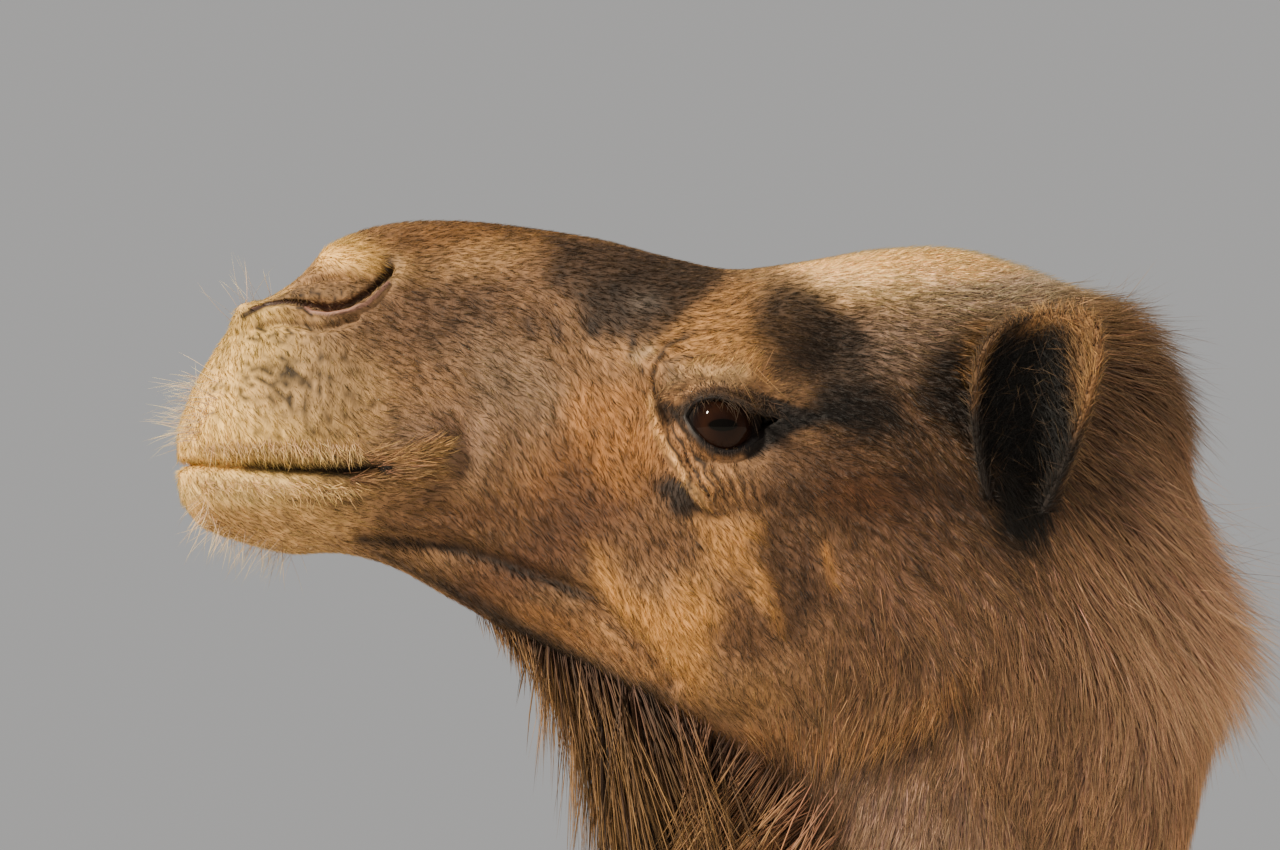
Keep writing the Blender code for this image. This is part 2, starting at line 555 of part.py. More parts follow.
def main():
    global camel, helpers
    for thing in list(bpy.data.objects):
        bpy.data.objects.remove(thing)
    camel = bpy.data.collections.new("dromedary_camel")
    helpers = bpy.data.collections.new("helpers")
    helpers.hide_render = True
    bpy.context.scene.collection.children.link(camel)
    bpy.context.scene.collection.children.link(helpers)
    coat = material("coat", (0.42, 0.27, 0.15), 0.85)
    dark_hair = material("dark_hair", (0.07, 0.045, 0.03), 0.8)
    horn = material("horn", (0.16, 0.12, 0.09), 0.5)
    eye = material("eye", (0.03, 0.015, 0.008), 0.1)
    callus = material("callus", (0.20, 0.15, 0.12), 0.8)

    neck = in_metres(HEAD_NECK)
    head = loft("head whole", neck, 24, 0, HEAD_END, 1.5, 0.08, 0)
    set_points(head.data, head_forms(points_of(head.data)))
    for side, hand in ((1, "left"), (-1, "right")):
        at = (side * EYE_X, EYE_Y, EYE_Z)
        socket = ball("socket", at, (EYE_RADIUS + 0.0004,) * 3, 16, 10)
        head = cut(head, socket, "DIFFERENCE", "head with socket")
        keep(ball("eyeball", at, (EYE_RADIUS,) * 3, 16, 10), f"eye_{hand}", eye)
    low = [(EYE_Y + y / 1000, EYE_Z + z / 1000) for y, z in JAW_EDGE]
    floor_line = [(EYE_Y - 0.1, EYE_Z - 0.3), (EYE_Y - 0.3, EYE_Z - 0.3)]
    above = beside(low, GAP)
    jaw = cut(head, side_plate("jaw region", low + floor_line, -0.2, 0.2), "INTERSECT", "jaw")
    skull = cut(head, side_plate("skull region", above + floor_line, -0.2, 0.2), "DIFFERENCE", "skull")
    keep(jaw, "lower_jaw", coat)
    keep(skull, "head", coat)
    for side, hand in ((1, "left"), (-1, "right")):
        keep(cut(ear(side), grown(skull, 0.0004), "DIFFERENCE", "ear"), f"ear_{hand}", coat)
    keep(loft("upper neck", neck, 20, HEAD_END, UPPER_NECK_END, 1, 0, 0), "neck_upper", coat)
    keep(loft("middle neck", neck, 20, UPPER_NECK_END, MIDDLE_NECK_END, 1, 0, 0), "neck_middle", coat)

    body = body_form(0.016, 2050)
    front, back = plane_at(neck, MIDDLE_NECK_END)
    body = half_of(body, "body behind the neck", back, front, False)
    front, back = plane_at(neck, LOWER_NECK_END)
    keep(half_of(body, "lower neck", back, front, True), "neck_lower", coat)
    body = half_of(body, "body without the neck", back, front, False)
    for prefix, stations, cuts in (("fore", FORELEG, FORE_CUTS), ("hind", HINDLEG, HIND_CUTS)):
        for hand, side in (("left", 1.0), ("right", -1.0)):
            own = shifted(staggered(stations, STAGGER[f"{prefix}_{hand}"]), BODY_Y)
            front, back = plane_at(own, cuts[0])
            slab = side_plate("below", [
                (front[0] - 0.3, front[1] - (back[1] - front[1]) / (back[0] - front[0]) * 0.3 - GAP / 2),
                (back[0] + 0.3, back[1] + (back[1] - front[1]) / (back[0] - front[0]) * 0.3 - GAP / 2),
                (back[0] + 0.3, 0.5), (front[0] - 0.3, 0.5),
            ], min(0, side * 0.6), max(0, side * 0.6))
            points = points_of(slab.data)
            top = points[:, 2] > 0.5
            points[top, 2] += GAP
            set_points(slab.data, points)
            body = cut(body, slab, "DIFFERENCE", "body above the leg")
    for prefix, outline, x_low in (("fore", SHOULDER_REGION, SHOULDER_X), ("hind", THIGH_REGION, THIGH_X)):
        for hand, side in (("left", 1.0), ("right", -1.0)):
            inner = region("inside", outline, x_low, 0.6, GAP)
            outer = region("outside", outline, x_low, 0.6)
            for plate in (inner, outer):
                points = points_of(plate.data)
                set_points(plate.data, points * (side, 1, 1))
                outward(plate)
            part = cut(body, inner, "INTERSECT", "upper leg")
            body = cut(body, outer, "DIFFERENCE", "body without the leg")
            keep(part, f"{prefix}_{hand}_{'shoulder' if prefix == 'fore' else 'thigh'}", coat)
    above_back = side_plate("above", [(-0.4, HUMP_Z), (1.2, HUMP_Z), (1.2, 2.5), (-0.4, 2.5)], -0.5, 0.5)
    below_back = side_plate("up", [(-0.4, HUMP_Z + GAP), (1.2, HUMP_Z + GAP), (1.2, 2.5), (-0.4, 2.5)], -0.5, 0.5)
    keep(cut(body, below_back, "INTERSECT", "hump"), "hump", coat)
    trunk = cut(body, above_back, "DIFFERENCE", "trunk")
    keep(trunk, "trunk", coat)
    for hand in ("left", "right"):
        leg("fore", hand, FORELEG, FORE_CUTS, coat, horn)
        leg("hind", hand, HINDLEG, HIND_CUTS, coat, horn)
    clear = grown(trunk, 0.0004)
    pad = ball("pad", (0, BODY_Y + 0.10, 1.085), (0.085, 0.120, 0.035), 12, 6)
    keep(cut(pad, clear, "DIFFERENCE", "pad"), "chest_pad", callus)
    tail = shifted(TAIL, BODY_Y)
    dock = loft("tail", tail, 12, 0, TUFT_START, 1, 0.5, 0)
    keep(cut(dock, clear, "DIFFERENCE", "dock"), "tail", coat)
    keep(loft("tuft", tail, 12, TUFT_START, None, 1, 0, 0.5), "tail_tuft", dark_hair)
    for thing in list(helpers.objects):
        bpy.data.objects.remove(thing)


main()
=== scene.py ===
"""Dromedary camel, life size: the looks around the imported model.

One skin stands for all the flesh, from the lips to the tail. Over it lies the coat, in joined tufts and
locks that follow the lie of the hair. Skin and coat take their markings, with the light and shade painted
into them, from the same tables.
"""

import math

import bmesh
import bpy
import numpy as np
from bpy.props import FloatProperty, FloatVectorProperty, IntProperty, PointerProperty
from mathutils import Euler, Matrix, Vector
from mathutils.bvhtree import BVHTree
from mathutils.kdtree import KDTree


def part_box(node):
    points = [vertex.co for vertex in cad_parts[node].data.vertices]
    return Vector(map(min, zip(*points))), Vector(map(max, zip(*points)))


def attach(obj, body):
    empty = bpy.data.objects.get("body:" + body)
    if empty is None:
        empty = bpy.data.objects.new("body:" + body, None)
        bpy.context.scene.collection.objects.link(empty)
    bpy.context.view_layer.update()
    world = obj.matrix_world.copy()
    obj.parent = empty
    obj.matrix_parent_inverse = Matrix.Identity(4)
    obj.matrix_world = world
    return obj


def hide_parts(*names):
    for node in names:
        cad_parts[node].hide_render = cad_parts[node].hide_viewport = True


bl_info = {
    "name": "Dromedary camel",
    "version": (1, 0, 0),
    "blender": (4, 5, 0),
    "location": "3D View > Sidebar > Camel",
    "description": "Builds the skin, the coat, the eyes and the nails of a life-size dromedary",
    "category": "Object",
}

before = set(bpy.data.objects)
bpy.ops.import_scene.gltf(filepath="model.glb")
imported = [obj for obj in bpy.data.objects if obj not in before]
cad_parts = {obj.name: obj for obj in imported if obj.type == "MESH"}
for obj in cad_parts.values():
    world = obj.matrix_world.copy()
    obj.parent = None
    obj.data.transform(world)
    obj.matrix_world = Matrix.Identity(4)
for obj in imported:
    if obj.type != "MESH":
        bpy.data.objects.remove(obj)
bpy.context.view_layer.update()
EYE_LOW, EYE_HIGH = (np.array(corner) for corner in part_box("eye_left"))
EYE = (EYE_LOW + EYE_HIGH) / 2
EYE_RADIUS = float((EYE_HIGH - EYE_LOW)[2] / 2)
PLUMB_Y = EYE[1] + 0.75  # the withers' plumb line, from which the trunk and the legs are laid out
MM = 0.001
DOWN = np.array((0, 0, -1.0))
FLESH = [
    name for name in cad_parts
    if not name.startswith("eye_") and not name.endswith("_nail") and name not in ("chest_pad", "tail_tuft")
]
NAILS = [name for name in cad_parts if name.endswith("_nail")]

# ---------------------------------------------------------------- the forms under the coat
# The head and neck, in millimetres from the eye: the upper line's y and z, the lower line's y and z,
# the half width, the squareness of the section (2 is an ellipse), how much wider it is above, and the
# depth of the coat, by which the skin lies inside the outline.
HEAD_NECK = (
    ("lips", -280, 2, -279, -40, 28, 2.3, -0.04, 1.0),
    ("upper lip", -270, 27, -269, -53, 40, 2.4, -0.08, 1.2),
    ("nostril front", -250, 56, -249, -61, 47, 2.4, -0.1, 1.2),
    ("nostril", -221, 76, -224, -67, 51, 2.4, -0.1, 1.2),
    ("nostril back", -199, 96, -198, -67, 54, 2.4, -0.08, 1.2),
    ("chin back", -171, 105, -171, -74, 54, 2.3, -0.04, 1.2),
    ("nose", -136, 106.5, -138, -92, 55, 2.3, 0.0, 1.3),
    ("bridge", -100, 103, -104, -112, 60, 2.3, 0.06, 1.4),
    ("before the eye", -62, 97, -72, -130, 71, 2.3, 0.12, 1.6),
    ("inner corner", -25, 87.5, -50, -147, 86, 2.3, 0.16, 1.8),
    ("eye", 6, 82, -30, -160, 97, 2.3, 0.18, 2.0),
    ("temple", 42, 86, -10, -173, 100, 2.3, 0.14, 2.2),
    ("crown", 82, 92.5, 10, -186, 98, 2.3, 0.08, 2.6),
    ("poll", 124, 93, 24, -200, 95, 2.2, 0.02, 3.6),
    ("ears", 172, 79, 34, -218, 94, 2.2, -0.02, 5.5),
    ("back of the head", 218, 57, 38, -241, 93, 2.2, -0.04, 8.0),
    ("nape", 245, 10, 40, -270, 90, 2.1, -0.04, 9.0),
    ("throat", 252, -50, 42, -307, 86, 2.1, -0.03, 10.0),
    ("upper neck", 268, -112, 42, -354, 83, 2.0, 0.0, 11.0),
    ("neck", 260, -178, 40, -410, 82, 2.0, 0.0, 11.0),
    ("below the mane", 242, -262, 36, -478, 84, 2.0, 0.0, 11.0),
    ("neck bend", 229, -350, 34, -560, 88, 2.0, 0.0, 11.0),
    ("bend", 234, -440, 44, -652, 95, 2.0, 0.0, 11.0),
    ("lower neck", 270, -520, 88, -750, 106, 2.0, 0.0, 11.0),
    ("neck root", 348, -562, 176, -838, 122, 2.0, 0.0, 11.0),
    ("neck base", 460, -545, 300, -882, 140, 2.0, 0.0, 11.0),
    ("front of the withers", 590, -450, 440, -915, 165, 2.0, 0.0, 11.0),
    ("withers", 720, -320, 590, -940, 190, 2.0, 0.0, 11.0),
)
NECK_JOIN = 22.4  # the place in those stations where the neck meets the body's skin

# The trunk, in metres from the plumb line: the same columns but the last, from the chest to the rump.
TRUNK = (
    ("breast", -0.3, 1.6, -0.3, 1.3, 0.1, 2.0, 0.0),
    ("chest", -0.22, 1.75, -0.23, 1.17, 0.165, 2.0, -0.05),
    ("shoulder", -0.1, 1.845, -0.11, 1.11, 0.215, 2.1, -0.1),
    ("withers", 0.02, 1.87, 0.02, 1.08, 0.245, 2.1, -0.14),
    ("elbow", 0.17, 1.875, 0.17, 1.08, 0.27, 2.1, -0.18),
    ("ribs", 0.36, 1.875, 0.36, 1.09, 0.293, 2.1, -0.18),
    ("barrel", 0.58, 1.868, 0.58, 1.115, 0.3, 2.1, -0.15),
    ("last rib", 0.78, 1.85, 0.76, 1.165, 0.282, 2.1, -0.08),
    ("loin", 0.95, 1.83, 0.91, 1.235, 0.245, 2.1, 0.02),
    ("hips", 1.1, 1.795, 1.04, 1.3, 0.222, 2.2, 0.1),
    ("rump", 1.22, 1.73, 1.15, 1.35, 0.185, 2.2, 0.08),
    ("pin bones", 1.31, 1.635, 1.25, 1.4, 0.125, 2.2, 0.0),
)
HUMP = (
    ("hump front", 0.1, 1.88, 0.1, 1.74, 0.05, 2.0, -0.1),
    ("front slope", 0.2, 1.955, 0.2, 1.66, 0.1, 2.0, -0.3),
    ("rise", 0.32, 2.05, 0.32, 1.58, 0.14, 2.0, -0.38),
    ("crest", 0.46, 2.13, 0.46, 1.55, 0.158, 2.0, -0.4),
    ("behind the crest", 0.6, 2.13, 0.6, 1.55, 0.158, 2.0, -0.4),
    ("fall", 0.74, 2.04, 0.74, 1.58, 0.142, 2.0, -0.38),
    ("back slope", 0.87, 1.925, 0.87, 1.64, 0.105, 2.0, -0.3),
    ("hump back", 0.98, 1.85, 0.98, 1.74, 0.06, 2.0, -0.1),
)
# The legs: the front line's y and z, the back line's y and z, the half width, squareness, taper, and
# the distance of the leg's middle from the model's middle plane.
FORELEG = (
    ("shoulder blade", -0.07, 1.7, 0.12, 1.7, 0.045, 2.0, 0.0, 0.15),
    ("shoulder", -0.165, 1.5, 0.15, 1.5, 0.066, 2.0, 0.0, 0.165),
    ("shoulder point", -0.185, 1.36, 0.16, 1.35, 0.078, 2.0, 0.0, 0.168),
    ("upper arm", -0.15, 1.24, 0.155, 1.22, 0.076, 2.0, 0.0, 0.168),
    ("elbow", -0.105, 1.13, 0.13, 1.12, 0.067, 2.0, 0.0, 0.165),
    ("forearm", -0.075, 1.02, 0.095, 1.01, 0.056, 2.0, 0.0, 0.16),
    ("forearm middle", -0.055, 0.88, 0.068, 0.88, 0.047, 2.1, 0.0, 0.153),
    ("above the knee", -0.05, 0.72, 0.05, 0.72, 0.042, 2.2, 0.0, 0.146),
    ("knee", -0.066, 0.615, 0.056, 0.615, 0.054, 2.5, 0.0, 0.143),
    ("below the knee", -0.058, 0.54, 0.05, 0.54, 0.048, 2.5, 0.0, 0.142),
    ("cannon top", -0.04, 0.47, 0.038, 0.47, 0.036, 2.2, 0.0, 0.141),
    ("cannon", -0.036, 0.34, 0.034, 0.34, 0.032, 2.2, 0.0, 0.139),
    ("cannon foot", -0.038, 0.235, 0.038, 0.23, 0.035, 2.2, 0.0, 0.137),
    ("fetlock", -0.052, 0.172, 0.047, 0.165, 0.046, 2.3, 0.0, 0.136),
    ("pastern", -0.064, 0.116, 0.032, 0.106, 0.045, 2.3, 0.0, 0.136),
    ("toes", -0.096, 0.084, 0.04, 0.07, 0.058, 2.4, 0.0, 0.137),
    ("foot", -0.136, 0.055, 0.064, 0.044, 0.083, 2.5, 0.0, 0.138),
    ("pad", -0.146, 0.024, 0.078, 0.022, 0.094, 2.5, 0.0, 0.138),
    ("sole", -0.138, 0.002, 0.072, 0.002, 0.089, 2.5, 0.0, 0.138),
)
HINDLEG = (
    ("hip", 0.97, 1.66, 1.262, 1.61, 0.064, 2.0, 0.0, 0.112),
    ("buttock", 0.9, 1.5, 1.31, 1.47, 0.08, 2.0, 0.0, 0.138),
    ("thigh", 0.865, 1.34, 1.275, 1.33, 0.083, 2.0, 0.0, 0.158),
    ("lower thigh", 0.85, 1.21, 1.215, 1.2, 0.078, 2.0, 0.0, 0.166),
    ("stifle", 0.868, 1.1, 1.15, 1.08, 0.068, 2.0, 0.0, 0.164),
    ("gaskin", 0.935, 0.97, 1.13, 0.95, 0.055, 2.0, 0.0, 0.156),
    ("gaskin below", 1.02, 0.84, 1.158, 0.83, 0.044, 2.1, 0.0, 0.148),
    ("above the hock", 1.085, 0.74, 1.208, 0.755, 0.038, 2.1, 0.0, 0.143),
    ("hock", 1.103, 0.655, 1.23, 0.675, 0.046, 2.4, 0.0, 0.142),
    ("below the hock", 1.115, 0.57, 1.208, 0.575, 0.04, 2.3, 0.0, 0.142),
    ("shank", 1.112, 0.45, 1.183, 0.45, 0.033, 2.2, 0.0, 0.14),
    ("shank below", 1.102, 0.27, 1.172, 0.27, 0.032, 2.2, 0.0, 0.137),
    ("hind fetlock", 1.088, 0.178, 1.176, 0.168, 0.042, 2.3, 0.0, 0.136),
    ("hind pastern", 1.074, 0.118, 1.156, 0.108, 0.041, 2.3, 0.0, 0.136),
    ("hind toes", 1.044, 0.082, 1.16, 0.07, 0.052, 2.4, 0.0, 0.137),
    ("hind foot", 1.01, 0.053, 1.18, 0.044, 0.072, 2.5, 0.0, 0.138),
    ("hind pad", 1.002, 0.024, 1.194, 0.022, 0.083, 2.5, 0.0, 0.138),
    ("hind sole", 1.008, 0.002, 1.188, 0.002, 0.078, 2.5, 0.0, 0.138),
)
TAIL = (
    ("dock", 1.215, 1.655, 1.235, 1.56, 0.034, 2.0, 0.0),
    ("tail root", 1.315, 1.64, 1.29, 1.555, 0.032, 2.0, 0.0),
    ("tail", 1.372, 1.56, 1.312, 1.51, 0.029, 2.0, 0.0),
    ("tail middle", 1.386, 1.42, 1.328, 1.41, 0.026, 2.0, 0.0),
    ("tail below", 1.378, 1.28, 1.326, 1.28, 0.022, 2.0, 0.0),
    ("tail end", 1.366, 1.16, 1.33, 1.16, 0.016, 2.0, 0.0),
)
# Each leg: its stations, its side, and how far back its foot stands, less and less up to STAGGER_TOP.
LEGS = (
    ("fore left", FORELEG, 1, -0.035),
    ("fore right", FORELEG, -1, 0.03),
    ("hind left", HINDLEG, 1, 0.045),
    ("hind right", HINDLEG, -1, -0.045),
)
STAGGER_TOP = 1.15
LEG_TOP = 1.04  # up to where the skin is mapped as a leg's
SOLE_HEIGHT, SOLE_DROP, PAD_HEIGHT = 0.0003, 0.0022, 0.03  # the soles are let down onto the floor
RINGS_PER_STATION = 4
ROUND_END = 0.5  # how far a tube's rounded end stands out, as a share of its half width
NAIL_REACH = 0.024  # half the length of a nail
CHEST_PAD_REACH, CHEST_PAD_LIFT = 0.034, 0.036  # half its thickness, and its middle above its box's floor
TAIL_HAIR_END = 0.945  # how high over the floor the tail's hair ends
EYE_CLEAR = 0.0003  # how much smaller an eyeball is than its node
EYE_FRONT = 0.0012  # how far its clear front stands proud

# Rounded forms on the side of the head, in millimetres from the eye: y, z, reach along and across, how
# far the form is turned (degrees, front end up), and how far it stands out.
HEAD_FORMS = (
    ("brow", 4, 38, 38, 14, -6, 9.0),
    ("brow front", -30, 26, 17, 14, 30, 4.5),
    ("eye socket", 0, -2, 25, 19, 0, -15.0),
    ("under the eye", -8, -32, 28, 9, -35, 3.0),
    ("cheekbone", 60, -26, 60, 14, -6, 4.0),
    ("temple hollow", 60, 44, 24, 20, 0, -9.0),
    ("before the eye", -78, 14, 36, 34, 0, -6.0),
    ("chewing muscle", 48, -92, 50, 46, 0, 5.0),
    ("jaw angle", 2, -132, 40, 20, 0, 3.0),
    ("nostril cushion", -194, 86, 30, 8, 20, 5.0),
    ("nostril flap", -206, 68, 24, 6, 4, 3.0),
    ("nostril pit", -172, 79, 6, 6, 0, -4.5),
    ("nostril opening", -206, 62.5, 4, 2.6, 0, -3.0),
    ("nostril back", -163, 84, 8, 12, -20, 2.0),
    ("nose tip", -246, 58, 8, 8, 40, 6.0),
    ("over the nose tip", -233, 76, 8, 6, 40, -2.5),
    ("upper lip", -232, -2, 38, 17, 0, 4.0),
    ("lower lip", -238, -38, 34, 11, 0, 3.5),
    ("corner tuft", -160, -20, 22, 10, 6, 4.0),
    ("round the corner", -134, -14, 9, 20, 14, -3.5),
    ("under the corner", -156, -42, 24, 6, 10, -3.0),
    ("behind the corner", -118, -12, 10, 26, 10, 2.0),
    ("lit jaw", -22, -98, 24, 36, -30, 3.0),
    ("behind the jaw", 95, -120, 30, 60, 10, -4.0),
    ("ear root", 156, -6, 30, 34, 0, 5.0),
)
# Lines that several tables share: y and z in millimetres from the eye.
JAW_CREASE = (
    (-186, -59), (-156, -61), (-134, -64), (-113, -71), (-89, -80), (-68, -88), (-56, -102), (-39, -117),
    (-26, -132),
)
NOSTRIL_SLIT = (
    (-247, 56), (-235, 62.5), (-224, 63.6), (-213, 62.5), (-202, 60.5), (-191.6, 62.5), (-182, 68),
    (-174, 76), (-170, 81),
)
BARE_SLIT = ((-242, 60), *NOSTRIL_SLIT[1:7])  # the nostril's hairless skin lies along these two
BARE_RIM = ((-214, 61), (-211, 58.5), (-202.5, 57.3), (-191.6, 58.8), (-182, 62.5), (-175, 69), (-171.5, 73))
# Folds and slits along lines on the side of the head: the half width and how deep each goes (a ridge
# where it is below 0), in millimetres, and how far from the middle plane it begins.
HEAD_FOLDS = (
    ("mouth", ((-300, -20), (-255, -21), (-215, -23), (-190, -23.5), (-178, -23)), 2.6, 7.0, 0),
    ("nostril slit", NOSTRIL_SLIT, 1.5, 6.0, 10),
    ("nostril rim", ((-214, 60.5), (-211, 58), (-202.5, 57), (-191.6, 58.5), (-182, 62.5), (-175, 69),
        (-171.5, 73)), 1.2, -2.4, 10),
    ("nostril front lip", ((-250, 50), (-243, 56), (-235, 59.5), (-224, 60.5), (-215, 59)), 2.4, -3.0, 8),
    ("under the nostril", ((-243, 50), (-229, 54.5), (-218.6, 52.5), (-208, 50), (-198, 51.5), (-188, 55)),
        2.4, 3.0, 8),
    ("over the flap", ((-232, 69), (-218.6, 73), (-205, 76), (-191.6, 76.5), (-181, 74)), 1.8, 2.4, 8),
    ("jaw crease", JAW_CREASE, 5.0, 5.0, 14),
    ("brow crease", ((-36, 14), (-35, 24), (-30, 32), (-19, 37)), 2.0, 2.2, 40),
    ("brow fold", ((-36, 32), (-28, 41), (-10, 45), (8, 46)), 1.6, 1.2, 40),
    ("brow fold above", ((-26, 50), (-8, 53), (14, 52)), 1.6, 0.8, 40),
    ("lid fold", ((-24, 17), (-12, 22.5), (4, 23.5), (18, 19), (34, 11), (50, 5)), 1.8, 2.2, 40),
    ("tear fold", ((-33, 14), (-30, 2), (-23, -12), (-15, -25), (-7, -36)), 1.6, 2.2, 40),
    ("tear ridge", ((-37, 14), (-34, -3), (-27, -15.5), (-19, -29), (-10, -41)), 2.2, -2.0, 40),
    ("under fold", ((-14, -42), (2, -46), (16, -43), (28, -38)), 3.4, 0.9, 40),
    ("cheek ridge", ((12, -52), (20, -72), (24, -96)), 7.0, -2.2, 40),
    ("neck crease", ((35, -171), (66, -187), (105, -172), (142, -141), (173, -108)), 14.0, 2.0, 30),
)
# Lines of darker or lighter colour on the head: some the hair's own tone, some painted shade in creases,
# slits and folds, and some painted light. The half width, colour and strength.
HEAD_LINES = (
    # the dark lids and the outer corner: dark skin, deepened with painted shade under the brow and in the
    # corner
    ("upper lid", ((-24, 6), (-18, 11), (-9, 16.5), (2, 17), (12, 13.5), (24, 8.5), (46, 4)), 3.0,
        (44, 32, 25), 0.8),
    ("outer corner", ((24, 1), (38, 1), (62, 6)), 4.2, (24, 18, 15), 0.9),
    ("lower corner", ((20, -6), (28, -6)), 6.5, (26, 19, 16), 0.85),
    ("inner corner", ((-29, 10), (-25, 5), (-20, 3)), 4.0, (40, 28, 21), 0.85),
    ("lower lid", ((-19, -3), (-12, -9), (-4, -13.5), (4, -15), (12, -12.5)), 1.8, (40, 28, 22), 0.7),
    # painted shade in the brow's crease, the lid's crease and the tear fold
    ("brow crease", ((-34, 12), (-35.5, 24), (-34, 32), (-28, 41), (-18, 45)), 1.6, (52, 36, 24), 0.8),
    ("lid crease", ((-30, 32), (-20, 35), (-6, 34)), 1.4, (84, 62, 42), 0.6),
    ("tear fold", ((-33, 12), (-30, 2)), 2.0, (70, 48, 32), 0.7),
    # painted shade in the mouth's slit
    ("mouth", ((-244, -21), (-215, -22.5), (-190, -23.5), (-170, -22)), 3.2, (26, 18, 13), 0.95),
    ("mouth front", ((-276, -19), (-255, -20.5), (-236, -21)), 1.6, (160, 120, 72), 0.5),
    # painted shadow between the hairs of the lip's fringe
    ("under the lip", ((-262, -12), (-240, -14), (-214, -14), (-196, -15), (-180, -14)), 3.6, (104, 78, 58),
        0.55),
    ("below the lip", ((-262, -34), (-240, -36), (-214, -38), (-190, -38)), 4.0, (128, 96, 62), 0.5),
    # painted shade in the crease round the mouth's corner
    ("round the corner", ((-150, 2), (-136, 0), (-130, -12), (-136, -26), (-154, -38)), 4.0, (112, 80, 58),
        0.7),
    # painted shade in the nostril's slit and pit
    ("nostril slit", ((-242, 59), *NOSTRIL_SLIT[1:8]), 1.4, (60, 42, 30), 0.8),
    ("nostril pit", ((-176, 72), (-172, 79), (-171, 84)), 3.6, (58, 44, 36), 0.85),
    ("nostril flap", ((-232, 66), (-214, 68), (-200, 68.5), (-186, 72)), 5.0, (98, 72, 44), 0.85),
    ("nostril edge", ((-178, 66), (-170, 74), (-166, 84)), 3.0, (150, 118, 82), 0.5),
    # painted shade in the fold under the nostril
    ("under the nostril", ((-240, 51), (-229, 54), (-218, 52), (-206, 50), (-190, 54)), 2.0, (110, 84, 58),
        0.6),
    # painted shade along the jaw's crease
    ("jaw crease", JAW_CREASE[:6], 3.4, (40, 27, 18), 0.85),
    ("jaw crease end", JAW_CREASE[5:], 2.4, (84, 54, 32), 0.5),
    # painted light along the tear ridge
    ("tear ridge", ((-37, 14), (-34, -3), (-26, -15.5), (-18, -29), (-9, -41)), 2.2, (214, 164, 100), 0.4),
    ("jaw shadow", ((-175, -74), (-150, -84), (-122, -99), (-96, -112), (-70, -127), (-40, -142)), 8.0,
        (34, 22, 13), 0.9),
    ("jaw fringe", ((14, -158), (60, -160), (95, -150), (122, -124)), 6.0, (180, 124, 70), 0.5),
    # painted shade in the neck's crease
    ("neck crease", ((40, -173), (66, -171), (97, -163), (126, -132), (140, -116)), 4.5, (80, 54, 36),
        0.55),
    # painted shade in the fold under the eye and in the brow's wrinkles
    ("under fold", ((-14, -42), (2, -47), (16, -44), (28, -38)), 1.4, (70, 46, 30), 0.5),
    ("brow wrinkle", ((-32, 42), (-22, 47), (-4, 49), (20, 46)), 1.0, (104, 70, 38), 0.55),
    ("brow wrinkle", ((-24, 53), (-8, 56), (18, 53)), 1.0, (104, 70, 38), 0.5),
    ("brow wrinkle", ((-16, 61), (0, 63), (20, 60)), 1.0, (104, 70, 38), 0.5),
    ("scar", ((-67, 51), (-66, 47)), 3.0, (44, 36, 32), 0.85),
    ("scar", ((-98, 54), (-98, 46)), 2.4, (66, 50, 42), 0.75),
    ("scar", ((-86, 53), (-85, 45)), 3.0, (60, 46, 40), 0.8),
    ("scar", ((-53, 49), (-51, 47)), 2.4, (62, 50, 44), 0.75),
    ("scar", ((-47, 44), (-46, 37)), 2.6, (48, 38, 34), 0.85),
    ("scar", ((-43, 32), (-41, 28)), 1.6, (44, 36, 32), 0.8),
    ("bare patch", ((-43, 63), (-36, 63)), 5.0, (108, 96, 86), 0.5),
    ("pale rim", ((-44, 35), (-38, 38)), 3.4, (176, 146, 108), 0.55),
    # painted highlight: a glint on the cheek
    ("cheek glint", ((51, -60), (54, -70), (56, -80)), 2.4, (206, 142, 76), 0.7),
    ("ear wisps", ((128, 52), (124, 38), (122, 24)), 3.5, (178, 128, 74), 0.55),
)
